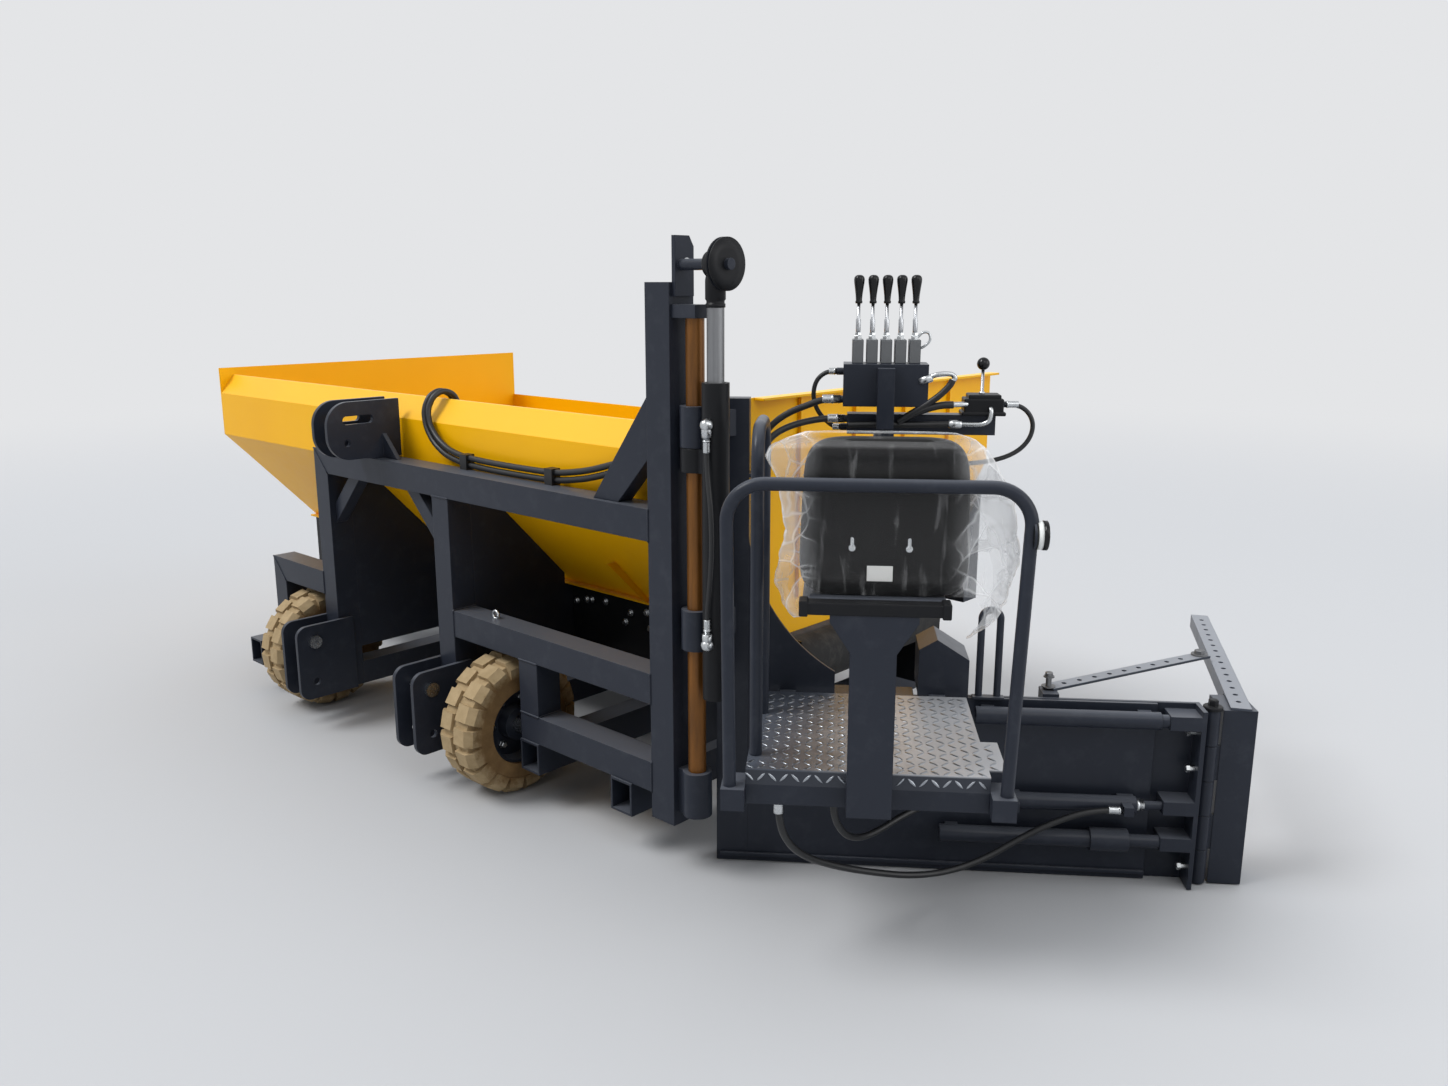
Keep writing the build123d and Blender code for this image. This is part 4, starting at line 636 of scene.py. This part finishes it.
def filmBag(film):
    # v falls from the top's middle to the hem, whose height changes round the bag; each level is a squarish loop
    u = np.linspace(-math.pi, math.pi, film["columns"], endpoint=False)[None, :]
    v = np.linspace(0, 1, film["rows"])[:, None]
    hem = np.interp(np.degrees(u), film["hemAngles"], film["hem"])
    top = film["levels"][0]
    cap = 0.10
    down = np.clip((v - cap) / (1 - cap), 0, 1)
    z = top + 3 * np.cos(np.clip(v / cap, 0, 1) * math.pi / 2) + (hem - top) * down
    levels, left, right = (np.array(film[k])[::-1] for k in ("levels", "left", "right"))
    spread = signedPower(np.clip(v / cap, 0, 1), 0.5)
    low, high = np.interp(z, levels, left), np.interp(z, levels, right)
    middle = 0.5 * (low + high) * spread + 520 * (1 - spread)
    across = signedPower(np.cos(u), 0.62)
    depth = signedPower(np.sin(u), 0.42)
    shoulder = np.clip((top + 6 - z) / 40, 0.45, 1)
    x = middle + 0.5 * (high - low) * spread * across
    y = film["middle"] + film["half"] * spread * shoulder * depth
    # creases: slanted ridges that run together at the corners, larger where the film is loose
    loose = np.clip(np.abs(across), 0, 1) ** 3 * down
    slant = (x - 540) * 0.021
    fall = (z - 1200) * 0.021
    ridge = (np.abs(np.sin(1.7 * slant + 1.1 * fall + 0.8 * np.sin(2 * fall))) - 0.5
             + 0.6 * (np.abs(np.sin(2.9 * slant - 2.2 * fall + 1.3)) - 0.5)
             + 0.35 * (np.abs(np.sin(5.1 * fall + 3.7 * slant + 0.5)) - 0.5))
    x = x + 9 * loose * ridge * np.sign(across)
    y = y + (7 * loose * np.sin(3.1 * fall + 6 * u) + 1.6 * ridge * down) * np.where(depth < 0, 0.6, 1)
    return np.stack([x, y, z], -1).reshape(-1, 3), gridFaces(film["rows"], film["columns"])


filmPoints, filmFaces = filmBag(clearFilm)
film = stationPiece("clearFilm", (filmPoints, filmFaces), filmClear, closed=False)


# Control levers, spool caps and pipes
leverRow = dict(x=551, y=200, pitch=42, count=5, stickX=840, ballZ=1600, ball=19, cap=(16.6, 40.6, 1601, 1670.6),
                knob=[(1775, 8.5), (1776, 10.5), (1781, 10.8), (1784, 9.2), (1800, 10.4), (1820, 13.0), (1836, 15.4),
                      (1845, 16.0), (1851, 14.6), (1855, 11.5), (1857.4, 7), (1858, 3)],
                stem=[(1671, 6), (1700, 7.5), (1728, 7.5), (1731, 5.2), (1777, 5.2)],
                stick=[(1509, 9), (1516, 9), (1518, 5), (1584, 5)],
                nut=[(1669, 12), (1680, 12), (1682, 10), (1690, 9)])
leverX = leverRow["x"] + (np.arange(leverRow["count"]) - 2.0) * leverRow["pitch"]
leverPlaces = np.stack([leverX, np.full(leverX.shape, leverRow["y"]), np.zeros(leverX.shape)], -1)
upRow = np.broadcast_to(upright, leverPlaces.shape)
stickPlace = [(leverRow["stickX"], leverRow["y"], 0)]
stickBall = ballRows(leverRow["ball"], -75, 88, 14, leverRow["ballZ"])
knobs = stationPiece("leverKnobs", joined(laid(turned(leverRow["knob"], 28), leverPlaces, upRow),
                                          laid(turned(stickBall, 32), stickPlace, [upright])), knobBlack)
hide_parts("levers")
stationPiece("leverStems", joined(laid(turned(leverRow["stem"], 20), leverPlaces, upRow),
                                  laid(turned(leverRow["stick"], 20), stickPlace, [upright])), rodSteel)
stationPiece("leverNuts", laid(turned(leverRow["nut"], 6), leverPlaces, upRow), zincSteel, smooth=False)
capX, capY, capLow, capHigh = leverRow["cap"]
capSpans = [(x - capX, x + capX, y - capY, y + capY, capLow, capHigh) for x, y, z in leverPlaces]
stationBlocks("spoolCaps", capSpans, spoolGrey, 0.003)

# Rigid pipes of the valve bank: radius, finish, route
valvePipes = dict(
    goosePipe=(7.5, zincSteel, [(640, 150, 1520), (662, 146, 1552), (700, 140, 1571), (738, 140, 1573),
                                (752, 140, 1562), (742, 140, 1546)]),
    gooseHose=(10, hoseCover, [(746, 140, 1556), (738, 140, 1540), (712, 142, 1512), (676, 146, 1484),
                               (640, 148, 1462), (606, 152, 1440)]),
    stickHose=(11, hoseCover, [(752, 150, 1482), (716, 148, 1480), (676, 148, 1470), (640, 150, 1456),
                               (612, 152, 1442), (590, 154, 1428)]),
    stickPipe=(8, zincSteel, [(748, 150, 1482), (768, 152, 1483), (790, 162, 1483), (800, 172, 1483)]),
    elbowPipe=(7, zincSteel, [(862, 161, 1470), (862, 148, 1470), (862, 143, 1458), (856, 143, 1436),
                              (838, 146, 1426), (812, 150, 1424), (776, 156, 1424)]),
    barPipe=(10, hoseCover, [(774, 156, 1424), (700, 158, 1422), (600, 158, 1420), (500, 158, 1420),
                             (442, 158, 1418)]),
    ventPipe=(4, zincSteel, [(640, 204, 1672), (658, 200, 1690), (676, 200, 1689), (680, 200, 1668),
                             (664, 202, 1650), (645, 204, 1642)]),
)
for name, (radius, finish, route) in valvePipes.items():
    stationPiece(name, tubeAlong(route, radius), finish)
sleeve = turned([(-20, 9), (-19, 12.5), (18, 12.5), (20, 9)], 24)
sleevePlaces, sleeveWays = [(760, 156, 1424), (668, 145, 1556)], [(1, 0, 0), (0.94, -0.1, 0.33)]
stationPiece("pipeSleeves", laid(sleeve, sleevePlaces, sleeveWays), zincSteel)

# The single lever's valve: base, body and cover plate
stickValve = [(778, 908, 154, 246, 1448.5, 1460), (785, 901, 157, 243, 1458, 1499),
              (797, 893, 158.5, 241.5, 1497, 1511)]
stationBlocks("stickValve", stickValve, blackPaint, 0.004, 3)
print("controls made")


# Crimped hose ends, with a collar at the fitting and a ridged sleeve along the hose
def hoseEnd(radius, long):
    # rows of (reach, radius): a plain shank, a collar, then twelve rows by turns high and low
    ridges = [(t * long, radius + (3.4 if i % 2 else 2.6)) for i, t in enumerate(np.linspace(0.30, 0.98, 12))]
    return [(-13, radius + 2.4), (0.2 * long, radius + 2.4), (0.21 * long, radius + 4.2), (0.29 * long, radius + 4.2),
            *ridges, (long, radius + 1)]


for body, place in placeOf.items():
    parts = []
    for hose in hoses.values():
        if hose["body"] == body:
            ends = np.array([(hose["route"][0], hose["route"][1]), (hose["route"][-1], hose["route"][-2])])
            runs = ends[:, 1] - ends[:, 0]
            long = min(44.0, float(np.linalg.norm(runs, axis=1).min()) + 4)
            parts.append(laid(turned(hoseEnd(hose["wide"] * 500, long), 20), ends[:, 0], runs))
    points, faces = joined(*parts)
    makePiece("hoseEnds_" + body, place(points), faces, zincSteel, body)
print("hose ends made")


# Work lamp on the railing: a white lens between black rings, facing along the strike-off
workLamp = dict(place=(884, -545, 1240), lens=[(9, 30), (10, 34.8), (22, 34.8), (23, 30)],
                rim=[(22, 30), (22.5, 36), (33, 36.4), (35, 34), (35.6, 22)],
                foot=[(-2, 24), (0, 32), (9, 35.4), (10, 30)])
for part, finish in (("lens", lensWhite), ("rim", knobBlack), ("foot", knobBlack)):
    stationPiece("lamp" + part.capitalize(), laid(turned(workLamp[part], 40), [workLamp["place"]], [alongX]), finish)

# Fasteners are hexagon heads on washers, laid with their z out of the surface that they hold
boltHead = joined(turned([(0, 15), (2.4, 15)], 24), turned([(2.4, 11), (10, 11), (11.4, 9.4)], 6))

# Conveyor: bearings on the drums' ends, bolts round the left drum, along the rollers and on the rear side's plate
conveyor = dict(rear=577, front=1457, drumX=(-3098, -45), drumZ=540, boltReach=52, rollers=7, rollerZ=582.5,
                plate=((-1128, 573), (-1066, 590), (-1036, 593), (-953, 601), (-838, 541), (-717, 601), (-698, 540)),
                bearing=[(0, 72), (14, 72), (18, 66), (20, 44), (34, 40), (36, 34)])


def outOfSide(places):
    # back from the conveyor's rear side, ahead from its front one
    return [(0, -1 if y == conveyor["rear"] else 1, 0) for x, y, z in places]


bothSides = conveyor["rear"], conveyor["front"]
leftDrum, rightDrum = conveyor["drumX"]
drumZ, reach = conveyor["drumZ"], conveyor["boltReach"]
rollerX = np.linspace(leftDrum, rightDrum, conveyor["rollers"] + 2)[1:-1]
conveyorBolts = [(leftDrum + dx, y, drumZ + dz) for dx in (-reach, reach) for dz in (-reach, reach) for y in bothSides]
conveyorBolts += [(x, y, conveyor["rollerZ"]) for x in rollerX for y in bothSides]
conveyorBolts += [(x, conveyor["rear"], z) for x, z in conveyor["plate"]]
bearings = [(leftDrum, y, drumZ) for y in bothSides] + [(rightDrum, conveyor["front"], drumZ)]
machinePiece("conveyorBolts", laid(boltHead, conveyorBolts, outOfSide(conveyorBolts)), zincSteel, smooth=False)
machinePiece("drumBearings", laid(turned(conveyor["bearing"], 40), bearings, outOfSide(bearings)), blackPaint)

# Extension and stay: each fitting is one or two turned forms (sides, rows) at its places, along one way
slideFittings = dict(
    endBolts=dict(body="screed_extension", finish=zincSteel, way=(-1, 0, 0),
                  places=[(1516, 72, 392), (1516, 72, 68), (1516, 96, 500)],
                  forms=[(20, [(0, 9), (16, 9)]), (6, [(16, 13), (26, 13), (28, 11)])]),
    cylinderGland=dict(body="station", finish=zincSteel, way=(1, 0, 0), places=[(1347, 62, 270)], smooth=True,
                       forms=[(28, [(0, 20), (10, 20), (11, 17), (24, 17), (25, 14)])]),
    stayPivot=dict(body="screed_extension", finish=dullSteel, way=(0, 0, 1), places=[(1086, 178, 0)],
                   forms=[(16, [(603, 22), (606, 22), (606.2, 9), (634, 9), (634.2, 17), (638, 17), (638.2, 12),
                                (648, 12), (650, 10)])]),
    hingeCap=dict(body="screed_extension", finish=blackPaint, way=(0, 0, 1), places=[(1562, 100, 0)],
                  forms=[(32, [(575.5, 29), (584, 29), (586, 26)]), (6, [(586, 15), (604, 15), (606, 12)])]),
    stayWasher=dict(body="stay_bar", finish=dullSteel, way=(0, 0, 1), places=[(1652, 545.6, 0)],
                    forms=[(36, [(603, 27), (608, 27), (609, 25)]), (6, [(609, 17), (619, 17), (621, 14)])]),
)
for name, fitting in slideFittings.items():
    form = joined(*[turned(rows, count) for count, rows in fitting["forms"]])
    ways = [fitting["way"]] * len(fitting["places"])
    stationPiece(name, laid(form, fitting["places"], ways), fitting["finish"], body=fitting["body"],
                 smooth=fitting.get("smooth", False))
wearStrip = (62, 1398, 88, 99.5, 22, 34)    # along the strike-off's foot
stationBlocks("wearStrip", [wearStrip], framePaint, 0.002)

# Mast head: black covers on the pulley and the rod's eye, bolts on the cheek, and bright elbows on the lift cylinder
mastHead = dict(axis=(146.1, 37.1), pin=1885, pulleyOut=30, bolts=[(14, 36, 1885), (14, 58, 1890)],
                pulley=[(-0.5, 40), (-0.4, 72.6), (4.6, 72.6), (5.4, 63.4), (10.6, 63.4), (11.4, 72.6), (16.4, 72.6),
                        (16.5, 40)],
                eye=[(-20.6, 17), (-20.6, 35), (-19, 36.8), (19, 36.8), (20.6, 35), (20.6, 17)],
                neck=[(1767, 25), (1768, 28), (1778, 28), (1779, 25.6), (1786, 25.6), (1790, 29), (1842, 29),
                      (1858, 26)],
                elbowZ=(1445, 800), elbow=[(-35, 13), (-34.4, 14.8), (-12, 14.8), (-10, 14)], elbowBall=19)
headX, headY = mastHead["axis"]
pulleyPlace = (headX + mastHead["pulleyOut"], headY, mastHead["pin"])
machinePiece("headPulley", laid(turned(mastHead["pulley"], 64), [pulleyPlace], [alongX]), blackPaint)
machinePiece("rodEye", joined(laid(turned(mastHead["eye"], 48), [(headX, headY, mastHead["pin"])], [alongX]),
                              laid(turned(mastHead["neck"], 40), [(headX, headY, 0)], [upright])), blackPaint)
machinePiece("cheekBolts", laid(boltHead, mastHead["bolts"], [alongX] * 2), zincSteel, smooth=False)
elbowPlaces = [(*liftPlace[:2], z) for z in mastHead["elbowZ"]]
elbowBall = turned(ballRows(mastHead["elbowBall"], -84, 84, 15), 28)
machinePiece("liftElbows", joined(laid(elbowBall, elbowPlaces, [upright] * 2),
                                  laid(turned(mastHead["elbow"], 24), elbowPlaces, [upright, -upright])),
             zincSteel, body="lift_carriage")

# The left fork pocket's rear end, which stands past the frame, and a lashing eye on the middle rail
pocketEnd = dict(x=(-2653, -2553), y=(-94, -6.5), z=(135, 250), wall=8)
lashingEye = dict(middle=(-959, 50, 658), ring=15, wire=5)
(x0, x1), (y0, y1), (z0, z1), wall = pocketEnd.values()
pocketWalls = [(x0, x0 + wall, y0, y1, z0, z1), (x1 - wall, x1, y0, y1, z0, z1),
               (x0 + wall, x1 - wall, y0, y1, z0, z0 + wall), (x0 + wall, x1 - wall, y0, y1, z1 - wall, z1)]
machinePiece("pocketEnd", boxes(pocketWalls), framePaint, smooth=False)
eyeTurn = np.linspace(0, 2 * math.pi, 25)
eyeRing = lashingEye["ring"] * np.stack([np.cos(eyeTurn), np.zeros(eyeTurn.shape), np.sin(eyeTurn)], -1)
machinePiece("lashingEye", tubeAlong(eyeRing + np.array(lashingEye["middle"]), lashingEye["wire"]), zincSteel)

# Weld beads where the frame's tubes meet: round the ends of posts and rails, and across two mitres
welds = dict(tube=100, bead=4, mitreBead=3, posts=[(-1255, 0, 1068), (-768, 0, 545), (-768, 0, 350)],
             rails=[(-100, 0, 1068), (-100, 0, 545), (-100, 0, 250), (-1155, 0, 545), (-2110, 0, 535)],
             mitres=[[(-2110, -0.5, 1168), (-2060, -0.5, 1118), (-2010, -0.5, 1068)],
                     [(-2553, -0.5, 635), (-2503, -0.5, 585), (-2453, -0.5, 535)]])


def weldLoop(place, lying):
    # a round bead along a square, lying for a post and upright across a rail's end
    corners = np.array([(0, 0), (1, 0), (1, 1), (0, 1)]) * welds["tube"]
    step = np.linspace(0, 1, 9)[:-1, None]
    loop = np.concatenate([a + (b - a) * step for a, b in zip(corners, np.roll(corners, -1, 0))] + [corners[:1]])
    zero = np.zeros(len(loop))
    shape = np.stack([loop[:, 0], loop[:, 1], zero] if lying else [zero, loop[:, 0], loop[:, 1]], -1)
    return tubeAlong(shape + np.array(place), welds["bead"], sides=8, rows=100)


weldBeads = [weldLoop(place, True) for place in welds["posts"]] + [weldLoop(place, False) for place in welds["rails"]]
weldBeads += [tubeAlong(route, welds["mitreBead"], sides=8, rows=12) for route in welds["mitres"]]
machinePiece("weldBeads", joined(*weldBeads), framePaint)

# Rubber seal from the hopper's left wall down to the belt
endSeal = dict(wall=(-3229, 700), belt=(-3104, 641), thick=6, ends=(592, 1442))


def sealStrip(seal):
    # a bent strip that leaves the wall steeply and lies down on the belt: height falls as the square of what is left
    s = np.linspace(0, 1, 12)
    x = seal["wall"][0] + (seal["belt"][0] - seal["wall"][0]) * s
    z = seal["belt"][1] + (seal["wall"][1] - seal["belt"][1]) * (1 - s) ** 2
    loop = np.concatenate([np.stack([x, z], -1), np.stack([x, z - seal["thick"]], -1)[::-1]])
    middle = np.repeat(loop.mean(0, keepdims=True), len(loop), 0)
    rear, front = seal["ends"]
    points = [np.stack([ring[:, 0], np.full(len(ring), y), ring[:, 1]], -1)
              for ring, y in ((middle, rear), (loop, rear), (loop, front), (middle, front))]
    return np.concatenate(points), gridFaces(4, len(loop))


machinePiece("endSeal", sealStrip(endSeal), beltCover, smooth=False)

# Wheel nuts on both faces of each disc
wheelNuts = dict(y=dict(rear=70, front=1730), x=dict(right=-930.5, left=-2290.5), axleZ=255, circle=92, face=10,
                 head=[(0, 15), (3, 15), (3.2, 12.5), (15, 12.5), (17, 10)])
nutTurn = np.tile(np.arange(6) * math.pi / 3, 2)
nutWays = np.repeat([(-1.0, 0, 0), (1.0, 0, 0)], 6, 0)
nutRing = wheelNuts["circle"] * np.stack([np.zeros(12), np.cos(nutTurn), np.sin(nutTurn)], -1)
nutRing += wheelNuts["face"] * nutWays
for end, y in wheelNuts["y"].items():
    for side, x in wheelNuts["x"].items():
        body = "wheel_" + end + "_" + side
        nuts = laid(turned(wheelNuts["head"], 6), nutRing + np.array((x, y, wheelNuts["axleZ"])), nutWays)
        machinePiece("nuts_" + body, nuts, zincSteel, body=body, smooth=False)
print("fasteners made")


# Floor and light
def paleFloor(size, fadeFrom, fadeTo, tone, far):
    # pale sealed concrete that fades into the backdrop's tone away from the machine
    made, tree, place = newMaterial("paleFloor")
    reach = addNode(tree, "VectorMath", wires={0: place}, operation="LENGTH")
    fade = addNode(tree, "MapRange", {"From Min": fadeFrom, "From Max": fadeTo}, {"Value": reach},
                   interpolation_type="SMOOTHSTEP")
    near = addNode(tree, "BsdfDiffuse", {"Color": linear(tone)})
    away = addNode(tree, "Emission", {"Color": linear(far)})
    both = addNode(tree, "MixShader", {}, {0: fade, 1: near, 2: away})
    addNode(tree, "OutputMaterial", wires={"Surface": both})
    mesh = bpy.data.meshes.new("floor")
    mesh.from_pydata([(x * size, y * size, 0) for x, y in ((-1, -1), (1, -1), (1, 1), (-1, 1))], [], [(0, 1, 2, 3)])
    mesh.materials.append(made)
    floor = bpy.data.objects.new("floor", mesh)
    bpy.context.scene.collection.objects.link(floor)


def studioLight(far, bright, low, high):
    # a soft dome that is brightest overhead and over the backdrop; the camera, metal and glass see the backdrop's tone
    world = bpy.data.worlds.new("studio")
    bpy.context.scene.world = world
    world.use_nodes = True
    tree = world.node_tree
    tree.nodes.clear()
    path = addNode(tree, "LightPath")
    rays = ("Camera", "Glossy", "Transmission")
    cameraRay, glossyRay, clearRay = (path.outputs["Is " + ray + " Ray"] for ray in rays)
    through = addNode(tree, "Math", wires={0: glossyRay, 1: clearRay}, operation="MAXIMUM")
    seen = addNode(tree, "Math", wires={0: cameraRay, 1: through}, operation="MAXIMUM")
    sky = addNode(tree, "TexCoord").outputs["Generated"]
    way = addNode(tree, "VectorMath", {1: bright}, {0: sky}, operation="DOT_PRODUCT")
    rise = addNode(tree, "MapRange", {"From Min": -0.5, "From Max": 0.9, "To Min": low, "To Max": high},
                   {"Value": way})
    dome = addNode(tree, "Background", {"Color": linear("#F3F6FA")}, {"Strength": rise})
    back = addNode(tree, "Background", {"Color": linear(far), "Strength": 1.0})
    both = addNode(tree, "MixShader", {}, {0: seen, 1: dome, 2: back})
    addNode(tree, "OutputWorld", wires={"Surface": both})


# Lamps: a sun's spread is its angle, an area's its width in metres
lamps = dict(
    key=dict(kind="SUN", place=(-3.0, -4.0, 6.8), aim=(0, 0, 0.6), strength=1.95, spread=math.radians(26)),
    fill=dict(kind="AREA", place=(5.5, -2.5, 5.5), aim=(0.4, 0.0, 0.6), strength=60, spread=3.5),
    across=dict(kind="SUN", place=(5.6, 2.8, 3.6), aim=(-1.6, 0.2, 1.2), strength=0.72, spread=math.radians(40)),
)
backTone = "#E4E5E7"
paleFloor(60, 5.0, 15.0, "#B6B7B9", backTone)
studioLight(backTone, (-0.5, 0.55, 0.67), 0.12, 1.45)
for name, lamp in lamps.items():
    data = bpy.data.lights.new(name, lamp["kind"])
    data.energy = lamp["strength"]
    if lamp["kind"] == "SUN":
        data.angle = lamp["spread"]
    else:
        data.size = lamp["spread"]
    light = bpy.data.objects.new(name, data)
    bpy.context.scene.collection.objects.link(light)
    aim = np.array(lamp["aim"]) - np.array(lamp["place"])
    light.location = lamp["place"]
    light.rotation_euler = (math.atan2(math.hypot(aim[0], aim[1]), -aim[2]), 0, math.atan2(-aim[0], aim[1]))
print("floor and light set")

bpy.context.scene.view_settings.view_transform = "Standard"
